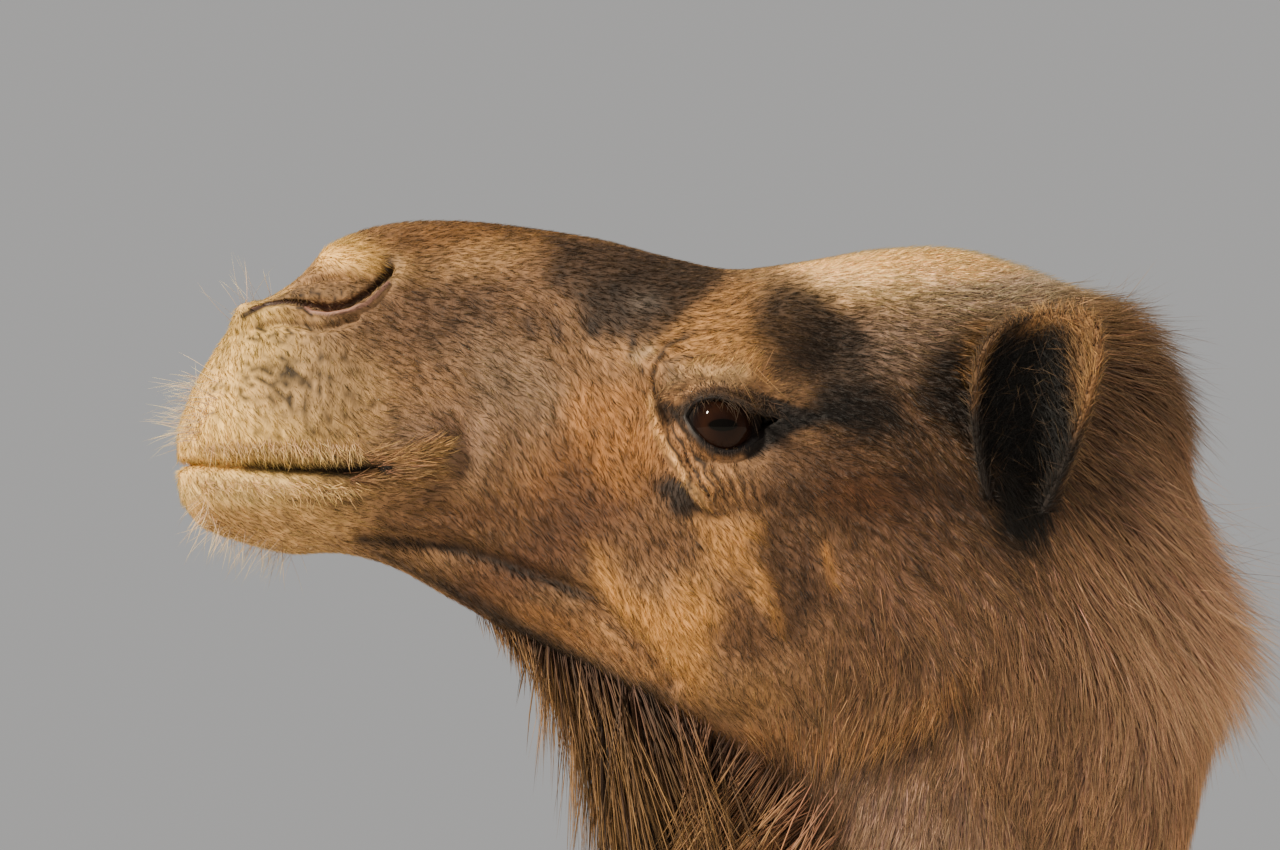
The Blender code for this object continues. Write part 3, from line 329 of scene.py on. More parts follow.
# Patches with an edge of their own, some the hair's own colour, some painted light and some painted shade:
# their outline from the eye, how wide the edge is, colour and strength.
HEAD_AREAS = (
    ("bridge shade", ((-89, 100), (-2, 84), (-2, 71), (-15, 62), (-26, 51), (-33, 41), (-43, 37), (-52, 45),
        (-68, 51), (-80, 67), (-91, 77)), 8, (60, 43, 30), 0.76),
    # painted light on the sunlit brow
    ("sunlit brow", ((-30, 42), (-24, 51), (-13, 61), (-1, 71), (11, 76), (18, 73), (13, 63), (10, 52),
        (14, 41), (22, 31), (28, 22), (19, 25), (7, 29), (-4, 29), (-12, 34), (-19, 37), (-27, 35)), 6,
        (160, 114, 66), 0.8),
    ("temple shade", ((26, 75), (41, 71), (57, 62), (69, 56), (74, 40), (72, 32), (60, 28), (44, 26),
        (30, 29), (18, 40), (13, 51), (18, 62)), 11, (41, 30, 22), 0.8),
    ("behind the eye", ((50, 20), (66, 22), (88, 14), (90, -4), (70, -8), (52, 2), (44, 10)), 8,
        (30, 22, 17), 0.85),
    # the black skin at the eye's outer corner, deepened with painted shade
    ("eye corner", ((10, 16), (22, 12), (36, 10), (54, 7), (44, 0), (30, -6), (18, -16), (13, -17),
        (11, -9), (16, 0), (16, 8)), 3.5, (12, 9, 7), 0.97),
    # painted light on the sunlit top of the forehead
    ("sunlit forehead", ((34, 88), (60, 100), (100, 102), (150, 98), (172, 84), (140, 78), (100, 77),
        (70, 78), (50, 79), (35, 82)), 10, (255, 206, 128), 0.95),
    ("behind the lid", ((22, -8), (40, -4), (64, -6), (72, -22), (52, -34), (44, -52), (26, -50),
        (16, -30)), 12, (78, 52, 35), 0.7),
    # painted shade under the ear
    ("shade under the ear", ((124, -20), (150, -50), (156, -68), (142, -78), (126, -62), (112, -30)), 14,
        (86, 60, 44), 0.65),
    ("tear patch", ((-37, -22), (-30, -24), (-21, -31), (-12, -42), (-13, -46), (-24, -41), (-31, -35)),
        3.5, (36, 27, 23), 0.9),
    ("cheek shade", ((16, -50), (29, -47), (43, -51), (49, -67), (48, -90), (40, -112), (30, -112),
        (27, -98), (19, -72)), 11, (86, 58, 40), 0.72),
    # painted light on the sunlit cheek
    ("sunlit cheek", ((-14, -47), (17, -49), (18, -65), (28, -93), (29, -105), (19, -94), (9, -80), (1, -78),
        (-9, -72)), 9, (192, 134, 68), 0.7),
    # painted light on the sunlit jaw
    ("sunlit jaw", ((-68, -60), (-56, -72), (-46, -85), (-29, -88), (-21, -78), (-9, -80), (1, -93),
        (-8, -113), (-6, -128), (-14, -138), (-26, -131), (-39, -116), (-56, -97), (-64, -85)), 11, (198,
        138, 66), 0.72),
    ("muscle shade", ((0, -82), (9, -82), (19, -95), (27, -108), (24, -122), (9, -122), (-3, -118),
        (-4, -105), (1, -93)), 12, (98, 64, 40), 0.7),
    # painted light along the jaw's lower edge
    ("lit band on the jaw's edge", ((-124, -84), (-96, -92), (-66, -96), (-46, -114), (-26, -134), (-12, -142), (-30, -134),
        (-64, -116), (-100, -100)), 7, (152, 102, 56), 0.7),
    ("jaw angle light", ((-12, -138), (20, -126), (36, -134), (30, -150), (8, -152)), 10, (150, 108, 64),
        0.6),
    ("cheek gold", ((-75, 22), (-52, 22), (-40, 15), (-33, -6), (-27, -20), (-39, -26), (-43, -37),
        (-57, -37), (-64, -25), (-75, -6), (-82, 9)), 10, (160, 106, 52), 0.6),
    ("before the ear", ((107, 41), (126, 47), (138, 41), (132, 6), (136, -20), (126, -8), (115, 0),
        (103, 9), (97, 21)), 9, (46, 33, 25), 0.85),
    # painted shadow below the ear
    ("shadow below the ear", ((130, 20), (142, 16), (170, -10), (169, -28), (164, -48), (150, -60), (138, -50),
        (131, -24)), 9, (8, 6, 5), 0.97),
    ("throat brown", ((-40, -136), (-14, -146), (11, -162), (44, -174), (70, -184), (70, -240), (10, -290),
        (-40, -240)), 10, (104, 70, 42), 0.75),
    ("throat shade", ((-130, -100), (-64, -124), (-30, -140), (-20, -170), (-14, -220), (-20, -300),
        (-60, -260), (-130, -150)), 10, (46, 31, 20), 0.75),
)
# Rounded forms on the body, in metres from the plumb line: half spread x, y, z, reach x, y, z, height.
BODY_FORMS = (
    ("shoulder blade", 0.21, 0.02, 1.56, 0.09, 0.03, 0.16, 0.01),
    ("shoulder point", 0.24, -0.155, 1.37, 0.1, 0.05, 0.06, 0.014),
    ("behind the shoulder", 0.27, 0.205, 1.42, 0.1, 0.045, 0.16, -0.012),
    ("elbow", 0.22, 0.12, 1.16, 0.07, 0.035, 0.045, 0.012),
    ("flank hollow", 0.24, 0.86, 1.56, 0.1, 0.09, 0.1, -0.02),
    ("hip bone", 0.2, 1.0, 1.745, 0.06, 0.05, 0.04, 0.014),
    ("pin bone", 0.11, 1.29, 1.6, 0.05, 0.04, 0.05, 0.012),
    ("thigh groove", 0.2, 1.16, 1.4, 0.1, 0.022, 0.2, -0.01),
    ("stifle", 0.19, 0.885, 1.13, 0.06, 0.04, 0.06, 0.012),
    ("hock point", 0.143, 1.225, 0.7, 0.04, 0.022, 0.03, 0.006),
    ("knee", 0.143, -0.062, 0.6, 0.05, 0.02, 0.05, 0.006),
    ("backbone", 0.0, 1.05, 1.82, 0.03, 0.14, 0.05, 0.008),
    ("tail head", 0.0, 1.26, 1.68, 0.04, 0.06, 0.05, 0.012),
)
# The opening between the lids, in millimetres from the eye, from the inner corner over the top.
EYE_OPENING = (
    (-18.5, 4.6), (-15.5, 9.6), (-9, 12.6), (-1, 12.8), (7, 10.6), (14, 6.8), (21, 4.4), (29, 3.2),
    (22, -0.6), (15.5, -6.6), (8.5, -11.2), (1.5, -12.8), (-5.5, -10.8), (-11.5, -6.0), (-16, -0.4),
)
# The ear, in metres: where its base stands, and its section from the base to the tip.
EAR_BASE = np.array((0.078, EYE[1] + 0.154, EYE[2] - 0.036))
EAR_LENGTH = 0.097
EAR_ALONG = (0.0, 0.25, 0.55, 0.8, 0.93, 1.0)
EAR_RADIUS = (0.016, 0.023, 0.029, 0.0305, 0.0275, 0.019)
EAR_ANGLE = (122, 114, 104, 96, 90, 82)
EAR_SHEAR = 0.3  # how much higher the ear's rear edge stands than its front one, per metre across
EAR_BEND = 0.01  # how far the tip bends in
EAR_THICKNESS = 0.0032
EAR_TURN = np.array(Euler((math.radians(-14), math.radians(20), math.radians(-20)), "XYZ").to_matrix())


# ---------------------------------------------------------------- colours
def tone(red, green, blue):
    """A colour from screen values of 0 to 255, as linear light."""
    value = np.array((red, green, blue)) / 255
    return np.where(value <= 0.04045, value / 12.92, ((value + 0.055) / 1.055) ** 2.4)


TAN = (150, 110, 74)
# The markings of the head and the top of the neck, painted light and shade among them, in millimetres from
# the eye: y, z, reach along and across, turn (degrees, front end up), colour and strength. Each lies over
# those before it.
HEAD_MARKS = (
    ("rear cheek low", 91, -84, 62, 48, 0, (130, 92, 70), 0.65),
    # painted shade on the rear of the cheek, turned from the light
    ("rear cheek", 92, -36, 46, 30, 0, (70, 41, 22), 0.85),
    ("rear cheek warm", 64, -34, 20, 12, 10, (122, 76, 44), 0.55),
    ("neck side", 175, -135, 90, 110, 0, (158, 118, 97), 0.8),
    ("neck back", 236, -100, 56, 120, 0, (197, 152, 128), 0.9),
    ("nape", 225, 30, 36, 46, 0, (104, 78, 64), 0.75),
    ("behind the ear", 188, 4, 22, 42, 0, (82, 58, 48), 0.7),
    ("neck low", 85, -200, 66, 34, 16, (174, 138, 122), 0.8),
    # the muzzle's pale hair, brightened with painted light on its sunlit front
    ("muzzle", -252, -3, 56, 58, 0, (248, 200, 112), 0.95),
    ("chin", -238, -52, 50, 16, 0, (206, 160, 106), 0.85),
    ("lower lip", -248, -33, 36, 7, 0, (255, 216, 140), 0.85),
    ("muzzle side", -210, 22, 34, 36, 0, (150, 118, 80), 0.85),
    ("nose tip", -247, 49, 24, 22, 0, (208, 168, 94), 0.85),
    # painted light on the sunlit top of the nostril's cushion, over its pale hair
    ("nostril cushion", -196, 90, 38, 9, 16, (246, 192, 104), 0.9),
    ("nose ridge", -124, 98, 60, 14, -3, (122, 80, 36), 0.85),
    ("nose side", -139, 58, 60, 28, -8, (84, 60, 44), 0.8),
    ("nose gold", -122, 86, 30, 11, -8, (174, 132, 86), 0.6),
    ("snout grey", -108, 22, 34, 22, 38, (134, 110, 88), 0.7),
    ("bridge", -48, 88, 44, 16, -10, (110, 80, 58), 0.7),
    ("bridge dark", -42, 66, 34, 18, -16, (44, 33, 26), 0.85),
    ("cheek gold", -62, -20, 48, 30, -22, (132, 84, 42), 0.85),
    ("cheek low", -83, -58, 60, 26, -35, (88, 56, 37), 0.8),
    ("below the tear", -32, -60, 18, 14, 0, (98, 64, 40), 0.7),
    ("behind the corner", -142, -8, 32, 22, 0, (138, 110, 90), 0.7),
    ("corner tuft", -162, -23, 22, 7, 6, (186, 140, 88), 0.85),
    # painted shade in the mouth's corner
    ("mouth corner", -188, -22, 17, 6, 0, (70, 52, 38), 0.8),
    ("below the mouth", -138, -48, 40, 12, -8, (92, 57, 32), 0.75),
    ("jaw band", -118, -80, 54, 13, -30, (116, 77, 52), 0.7),
    # painted light on the sunlit brow
    ("brow", -6, 42, 34, 14, -4, (180, 128, 68), 0.85),
    ("sunlit brow spot", 0, 27, 17, 7, -4, (220, 180, 130), 0.8),
    ("brow grey", -24, 26, 8, 8, 0, (132, 108, 84), 0.7),
    ("behind the eye", 66, 24, 36, 26, -10, (38, 28, 22), 0.85),
    ("tear gold", -8, -28, 12, 13, -30, (114, 77, 36), 0.7),
    ("under gold", 8, -36, 26, 10, 0, (114, 76, 39), 0.7),
    ("temple", 94, 42, 36, 24, 0, (136, 110, 92), 0.75),
    ("temple low", 106, 2, 34, 26, 0, (70, 48, 34), 0.75),
    # painted light on the sunlit top of the forehead
    ("forehead", 106, 82, 62, 17, -3, (250, 210, 148), 0.95),
    ("poll", 150, 76, 46, 20, -18, (178, 152, 128), 0.9),
    ("before the ear", 131, 20, 16, 32, 0, (52, 36, 27), 0.8),
)
# Markings of the body, in metres from the plumb line: half spread x, y, z, reach x, y, z, colour, strength.
BODY_MARKS = (
    ("belly", 0.0, 0.5, 1.08, 0.34, 0.62, 0.16, (196, 162, 122), 0.85),
    ("flank", 0.2, 0.88, 1.25, 0.2, 0.16, 0.16, (186, 150, 110), 0.75),
    ("saddle", 0.0, 0.62, 1.84, 0.24, 0.62, 0.14, (122, 86, 58), 0.7),
    ("hump", 0.0, 0.53, 2.08, 0.24, 0.34, 0.19, (78, 54, 38), 0.9),
    ("shoulder hair", 0.2, -0.02, 1.68, 0.18, 0.2, 0.16, (92, 64, 44), 0.75),
    ("neck root", 0.0, -0.52, 1.38, 0.2, 0.22, 0.22, (98, 68, 47), 0.7),
    ("throat mane", 0.0, -0.74, 1.56, 0.05, 0.1, 0.3, (62, 43, 31), 0.7),
    ("foreleg", 0.14, -0.02, 0.6, 0.2, 0.2, 0.5, (184, 148, 110), 0.75),
    ("hind leg", 0.14, 1.12, 0.6, 0.2, 0.25, 0.52, (184, 148, 110), 0.75),
    ("inner thigh", 0.04, 1.05, 1.2, 0.07, 0.2, 0.2, (182, 146, 108), 0.7),
    ("knee", 0.14, -0.08, 0.59, 0.07, 0.035, 0.06, (84, 66, 54), 0.9),
    ("stifle", 0.19, 0.85, 1.12, 0.06, 0.035, 0.05, (84, 66, 54), 0.85),
    ("elbow", 0.22, 0.15, 1.15, 0.05, 0.03, 0.04, (84, 66, 54), 0.8),
    ("feet", 0.14, -0.04, 0.03, 0.3, 0.3, 0.07, (112, 84, 62), 0.8),
    ("hind feet", 0.14, 1.1, 0.03, 0.3, 0.3, 0.07, (112, 84, 62), 0.8),
    ("tail end", 0.0, 1.35, 1.1, 0.05, 0.06, 0.12, (44, 30, 22), 0.95),
)
# The lie of the hair: y, z in millimetres from the eye, reach, and the way it points (out, back, up).
HEAD_LIE = (
    ("nose ridge", -140, 100, 50, (0, 1.0, 0.0)),
    ("nostril", -205, 76, 22, (0, 0.8, -0.5)),
    ("muzzle front", -270, 20, 40, (0.4, 0.05, -1.0)),
    ("muzzle side", -220, 26, 26, (0, 0.45, -0.8)),
    ("upper lip", -225, -8, 24, (0, 0.25, -1.0)),
    ("lower lip", -240, -36, 22, (0, 0.7, -0.6)),
    ("chin", -215, -58, 20, (0, 0.9, -0.5)),
    ("corner tuft", -158, -22, 18, (0, 1.0, 0.1)),
    ("snout", -150, 40, 45, (0, 0.75, -0.6)),
    ("bridge", -70, 70, 35, (0, 0.75, -0.55)),
    ("cheek", -80, -20, 45, (0, 0.5, -0.9)),
    ("jaw", -90, -90, 40, (0, 0.8, -0.6)),
    ("jaw angle", 0, -120, 40, (0, 0.6, -0.85)),
    ("forehead", 80, 85, 50, (0, 1.0, 0.25)),
    ("temple", 90, 25, 35, (0, 0.85, -0.45)),
    ("rear cheek", 80, -60, 50, (0, 0.75, -0.75)),
    ("poll", 170, 75, 40, (0, 0.9, 0.15)),
    ("nape", 245, 0, 55, (0, 0.75, -0.65)),
    ("behind the jaw", 88, -158, 34, (0, -0.6, -0.8)),
    ("under the jaw", 30, -185, 36, (0, -0.45, -0.9)),
    ("neck", 165, -160, 66, (0, -0.12, -1.0)),
    ("neck back", 235, -105, 50, (0, 0.4, -0.9)),
    ("neck front", 40, -270, 60, (0, -0.2, -1.0)),
    ("neck low", 140, -380, 120, (0, 0.1, -1.0)),
    ("neck bend", 130, -620, 130, (0, 0.5, -0.85)),
)
# The same on the body, in metres from the plumb line: x, y, z, reach, and the way it points.
BODY_LIE = (
    ("neck root", 0.1, -0.55, 1.4, 0.2, (0, 0.7, -0.7)),
    ("shoulder", 0.2, -0.05, 1.5, 0.2, (0, 0.35, -0.9)),
    ("ribs", 0.28, 0.4, 1.45, 0.25, (0, 0.75, -0.6)),
    ("belly", 0.1, 0.45, 1.1, 0.18, (0, 1.0, 0.0)),
    ("hump", 0.1, 0.53, 2.0, 0.18, (0.3, 0.2, -1.0)),
    ("back", 0.02, 1.0, 1.84, 0.15, (0.2, 1.0, -0.3)),
    ("flank", 0.22, 0.9, 1.45, 0.18, (0, 0.6, -0.8)),
    ("thigh", 0.2, 1.08, 1.3, 0.22, (0, 0.15, -1.0)),
    ("foreleg", 0.15, -0.02, 0.7, 0.35, (0, 0.1, -1.0)),
    ("hind leg", 0.15, 1.12, 0.6, 0.35, (0, 0.1, -1.0)),
    ("foreleg low", 0.15, -0.04, 0.15, 0.25, (0, 0.0, -1.0)),
    ("hind leg low", 0.15, 1.1, 0.15, 0.25, (0, 0.0, -1.0)),
    ("tail", 0.0, 1.35, 1.4, 0.15, (0, 0.0, -1.0)),
)

# Where each part of the skin lies on the map that the coat shares: left, bottom, width and height.
MAP_NECK = (0.01, 0.01, 0.34, 0.98)
MAP_TRUNK = (0.38, 0.01, 0.28, 0.98)
MAP_LEGS = [(0.69 + 0.06 * number, 0.01, 0.05, 0.6) for number in range(4)]
MAP_TAIL = (0.94, 0.01, 0.03, 0.6)
MAP_LIDS = [(left, 0.65, 0.12, 0.15) for left in (0.69, 0.84)]
MAP_EARS = [(left, 0.82, 0.12, 0.15) for left in (0.69, 0.84)]
NECK_PART, TRUNK_PART, LEG_PART, TAIL_PART, LID_PART, EAR_PART = 0, 1, 2, 6, 7, 9
TUFT_PATCH = 0.003  # how wide a tuft is on that map

LAMPS = (  # the way the light goes, its strength, its softness in degrees and its colour
    ("key", (-0.34, 0.72, -0.6), 8.4, 6, (1.0, 0.895, 0.72)),
    ("fill", (-0.9, -0.3, -0.3), 0.9, 40, (1.0, 0.96, 0.9)),
    ("back", (0.5, -0.8, -0.6), 0.9, 30, (1.0, 0.96, 0.9)),
)
kept = {}  # the skin's surface, the ground colour and the finishes, shared by the steps


# ---------------------------------------------------------------- arrays
def smooth_through(rows, places):
    """Rows of numbers as one smooth run (Catmull-Rom), read at fractional places."""
    rows = np.asarray(rows, float)
    last = len(rows) - 1
    i = np.clip(np.floor(places).astype(int), 0, last - 1)
    t = (places - i)[:, None]
    a, b, c, d = (rows[np.clip(i + k, 0, last)] for k in (-1, 0, 1, 2))
    return 0.5 * (2 * b + (c - a) * t + (2 * a - 5 * b + 4 * c - d) * t**2 + (3 * b - a - 3 * c + d) * t**3)


def eased(value):
    """0 to 1, levelling off at both ends."""
    value = np.clip(value, 0, 1)
    return value * value * (3 - 2 * value)


def unit(vectors):
    return vectors / np.maximum(np.linalg.norm(vectors, axis=-1, keepdims=True), 1e-12)


def ripple(points, wave, seed):
    """A smooth wandering value of about -1 to 1 over points in space, with a given wavelength."""
    chance = np.random.default_rng(seed)
    total = np.zeros(len(points))
    for _ in range(7):
        way = unit(chance.normal(size=3))
        rate = 2 * math.pi / wave * chance.uniform(0.6, 1.6)
        total += np.sin(points @ way * rate + chance.uniform(0, 6.28))
    return total / 2.6


def from_eye(points):
    """How far points are from the middle plane, and behind and above the eye, in millimetres."""
    return np.abs(points[:, 0]) / MM, (points[:, 1] - EYE[1]) / MM, (points[:, 2] - EYE[2]) / MM


def turned_away(y, z, at_y, at_z, along, across, turn):
    """The square of how many reaches a point is from a turned oval."""
    angle = math.radians(turn)
    dy, dz = y - at_y, z - at_z
    a = dy * math.cos(angle) - dz * math.sin(angle)
    b = dy * math.sin(angle) + dz * math.cos(angle)
    return (a / along) ** 2 + (b / across) ** 2


def oval(y, z, at_y, at_z, along, across, turn=0):
    """A share of 1 at the middle of a turned oval, fading to 0 outside it."""
    return np.exp(-turned_away(y, z, at_y, at_z, along, across, turn))


def body_away(points, at, reach, wander=0.0):
    """The square of how many reaches points are from a place on either side of the body."""
    x, y, z = np.abs(points[:, 0]), points[:, 1] - PLUMB_Y, points[:, 2]
    across, along, up = (x - at[0]) / reach[0], (y - at[1] + wander) / reach[1], (z - at[2]) / reach[2]
    return across**2 + along**2 + up**2


def near_to(y, z, line, reach):
    """Whether points lie in the box around a line, widened by a reach."""
    low, high = np.min(line, axis=0) - reach, np.max(line, axis=0) + reach
    return (y > low[0]) & (y < high[0]) & (z > low[1]) & (z < high[1])


def from_line(y, z, line):
    """How far points are from a line of points."""
    best = np.full(len(y), 1e9)
    line = np.array(line, float)
    for start, end in zip(line[:-1], line[1:]):
        run = end - start
        share = np.clip(((y - start[0]) * run[0] + (z - start[1]) * run[1]) / (run @ run), 0, 1)
        best = np.minimum(best, np.hypot(y - start[0] - share * run[0], z - start[1] - share * run[1]))
    return best


def head_heights(points):
    """How far the folds and forms of the head stand out from its plain loft, in metres."""
    x, y, z = from_eye(points)
    out = np.zeros(len(points))
    for _, *place, height in HEAD_FORMS:
        out += eased(x / (12 if place[0] < -225 else 32)) * height * oval(y, z, *place)
    for _, line, width, depth, begins in HEAD_FOLDS:
        near = near_to(y, z, line, 4 * width)
        away = from_line(y[near], z[near], line) / width
        out[near] -= depth * np.exp(-(away**2)) * (eased((x[near] - begins) / 14) if begins else 1)
    out += oval(y, z, -235, 22, 34, 34) * 0.35 * ripple(points * (1, 1, 0.6), 0.007, 3)
    return out * MM


def past_outline(y, z, outline):
    """How far points are outside a closed outline, below 0 inside it."""
    inside = np.zeros(len(y), bool)
    for (y1, z1), (y2, z2) in zip(outline, (*outline[1:], outline[0])):
        if z1 != z2:
            inside ^= ((z1 > z) != (z2 > z)) & (y < (y2 - y1) * (z - z1) / (z2 - z1) + y1)
    away = from_line(y, z, (*outline, outline[0]))
    return np.where(inside, -away, away)


TEAR_START, TEAR_RUN = (-37, 14), (0.454, -0.891)  # the line down from the eye's inner corner


def tear_place(y, z):
    """Where points are across and along the line down from the eye's inner corner."""
    y, z = y - TEAR_START[0], z - TEAR_START[1]
    return -y * TEAR_RUN[1] + z * TEAR_RUN[0], y * TEAR_RUN[0] + z * TEAR_RUN[1]


def near_tear(y, z):
    across, along = tear_place(y, z)
    return np.exp(-(((across - 3) / 9) ** 2) - ((along - 34) / 24) ** 4)


def wrinkles(y, z, points):
    """The fine wrinkles below the eye's inner corner, from -1 in their floors to 1 on their tops."""
    wander = ripple(points, 0.014, 51)
    tear = np.sin(2 * math.pi * tear_place(y, z)[0] / 4.6 + 1.5 * wander) * near_tear(y, z)
    under = np.sin(2 * math.pi * (y + 0.35 * z) / 5.0 + 1.6 * wander)
    under *= np.exp(-(((y - 6) / 15) ** 4) - ((z + 32) / 9) ** 2)
    return np.clip(1.3 * tear + 0.8 * under, -1, 1)


def cracks(y, z):
    """The short slanting cracks in the hair of the muzzle, 1 in their floors."""
    chance = np.random.default_rng(7)
    found = np.zeros(len(y))
    near = (y > -275) & (y < -165) & (z > -40) & (z < 75)
    for _ in range(90):
        at_y, at_z = chance.normal(-225, 19), chance.normal(26, 17)
        run, drop = chance.uniform(2.5, 6.5), chance.uniform(-4.0, -0.5)
        line = ((at_y, at_z), (at_y + run, at_z + drop))
        found[near] = np.maximum(found[near], np.exp(-((from_line(y[near], z[near], line) / 0.95) ** 2)))
    return found


def flap_grain(points, y, z):
    """The coarse grain of the hair on the nostril's flap."""
    return oval(y, z, -205, 68, 26, 7, 4) * ripple(points, 0.0028, 55)


def hair_relief(points):
    """How far the hair's roots stand off the skin over wrinkles too fine for it, in metres."""
    x, y, z = from_eye(points)
    grain = flap_grain(points, y, z)
    return (1.3 * wrinkles(y, z, points) - 2.4 * cracks(y, z) + 0.5 * grain) * MM * (x > 20)


def over(colour, share, laid):
    """Colours with another laid over them, by a share for each point."""
    return colour + share[:, None] * (laid - colour)


def head_colour(points):
    """The colour of the head and the top of the neck, with its painted light and shade."""
    x, y, z = from_eye(points)
    colour = np.broadcast_to(kept["ground"], (len(points), 3))
    wander = 5 * ripple(points, 0.05, 11)
    for _, *place, screen, strength in HEAD_MARKS:
        colour = over(colour, strength * np.exp(-(turned_away(y + wander, z, *place) ** 1.3)), tone(*screen))
    wander = 2.2 * ripple(points, 0.022, 12)
    for _, outline, edge, screen, strength in HEAD_AREAS:
        near = near_to(y, z, outline, edge + 8)
        past = past_outline(y[near] + wander[near], z[near] + wander[near], outline)
        share = strength * eased(0.5 - past / edge / 1.6) * eased((x[near] - 4) / 16)
        colour[near] = over(colour[near], share, tone(*screen))
    for _, line, width, screen, strength in HEAD_LINES:
        share = strength * np.exp(-((from_line(y, z, line) / width) ** 2)) * eased((x - 8) / 12)
        colour = over(colour, share, tone(*screen))
    # painted shade in the floors of the wrinkles and cracks, painted light on the wrinkles' tops, and the
    # grain of the nostril's flap
    fine = 1 + 0.95 * wrinkles(y, z, points) - 0.85 * cracks(y, z) + 0.5 * flap_grain(points, y, z)
    return colour * np.where(x > 20, np.clip(fine, 0.12, 2), 1)[:, None]


def body_colour(points):
    """The colour of the body."""
    colour = np.broadcast_to(kept["ground"], (len(points), 3))
    wander = 0.02 * ripple(points, 0.2, 5)
    for _, *place, screen, strength in BODY_MARKS:
        away = body_away(points, place[:3], place[3:], wander)
        colour = over(colour, strength * np.exp(-away), tone(*screen))
    return colour


def coat_colour(points):
    """The markings with their painted light and shade, the same for the skin and the coat."""
    _, y, z = from_eye(points)
    marked = head_colour(points)
    bright = marked @ (0.3, 0.59, 0.11)
    marked = marked * np.clip((bright / 0.28) ** 0.25, 0.55, 1.12)[:, None]
    colour = over(body_colour(points), eased((z + 420) / 200) * (y < 420), marked)
    mottle = 1 + 0.07 * ripple(points, 0.16, 21) + 0.08 * ripple(points, 0.035, 22)
    mottle += 0.14 * ripple(points, 0.011, 23) + 0.2 * ripple(points, 0.0045, 24)
    return np.maximum(colour * mottle[:, None], 0)


def lie_of_hair(points, normals):
    """The way the hair points at places on the skin: along it, in unit steps."""
    x, y, z = from_eye(points)
    way = np.zeros_like(points)
    for _, at_y, at_z, reach, points_to in HEAD_LIE:
        share = np.exp(-((y - at_y) ** 2 + (z - at_z) ** 2) / reach**2 / 1.4) + 1e-12
        way += share[:, None] * np.array(points_to)
    radial = np.stack([0 * y, y - 2, z - 1], 1)
    near_eye = np.exp(-((y - 2) ** 2 / 42**2 + (z - 1) ** 2 / 34**2) ** 2) * (x > 50)
    way = unit(way) + 2.2 * near_eye[:, None] * unit(radial)
    way = way + (6 * near_tear(y, z) * (x > 50))[:, None] * np.array((0, *TEAR_RUN))
    on_body = eased(((points[:, 1] - EYE[1]) / 0.1 - 2.6) / 1.4) * eased((-z - 500) / 120)
    body = np.zeros_like(points)
    for _, at_x, at_y, at_z, reach, points_to in BODY_LIE:
        away = (x * MM - at_x) ** 2 + (points[:, 1] - PLUMB_Y - at_y) ** 2 + (points[:, 2] - at_z) ** 2
        body += (1 / (1 + away / reach**2) ** 3)[:, None] * np.array(points_to)
    way = unit(way) * (1 - on_body)[:, None] + unit(body) * on_body[:, None]
    way[:, 0] *= np.sign(points[:, 0])
    swing = 0.2 * ripple(points, 0.06, 31) + 0.16 * ripple(points, 0.014, 32)
    way = way + swing[:, None] * np.cross(normals, way)
    return unit(way - (way * normals).sum(1, keepdims=True) * normals)


# ---------------------------------------------------------------- meshes
def points_of(mesh):
    found = np.empty(len(mesh.vertices) * 3)
    mesh.vertices.foreach_get("co", found)
    return found.reshape(-1, 3)


def set_points(mesh, points):
    mesh.vertices.foreach_set("co", np.ascontiguousarray(points, np.float32).ravel())
    mesh.update()


def normals_of(mesh):
    found = np.empty(len(mesh.vertices) * 3)
    mesh.vertices.foreach_get("normal", found)
    return found.reshape(-1, 3)


def mesh_from(name, mesh_data):
    """A mesh made from a bmesh, which is freed."""
    mesh = bpy.data.meshes.new(name)
    mesh_data.to_mesh(mesh)
    mesh_data.free()
    return mesh


def bmesh_from(mesh):
    """A bmesh made from a mesh, which is removed."""
    mesh_data = bmesh.new()
    mesh_data.from_mesh(mesh)
    bpy.data.meshes.remove(mesh)
    return mesh_data


def linked(name, mesh):
    made = bpy.data.objects.new(name, mesh)
    bpy.context.scene.collection.objects.link(made)
    return made


def ball_mesh(name, segments, rings):
    """A sphere of radius 1, to be laid out by its points.

    The operator gives the faces in another order each run. Here they are put in one fixed order, because
    the coat's roots are drawn from the skin's faces.
    """
    mesh_data = bmesh.new()
    bmesh.ops.create_uvsphere(mesh_data, u_segments=segments, v_segments=rings, radius=1)
    mesh_data.verts.index_update()
    ordered = bmesh.new()
    verts = [ordered.verts.new(vert.co) for vert in mesh_data.verts]
    for face in sorted([vert.index for vert in face.verts] for face in mesh_data.faces):
        ordered.faces.new([verts[index] for index in face])
    mesh_data.free()
    return mesh_from(name, ordered)


def ball_rings(ball, rings):
    """Which ring of a sphere each of its points is on, from 0 at the top, and the turn on that ring."""
    ring = np.rint(np.arccos(np.clip(ball[:, 2], -1, 1)) / math.pi * rings).astype(int)
    return ring, np.arctan2(ball[:, 1], ball[:, 0])


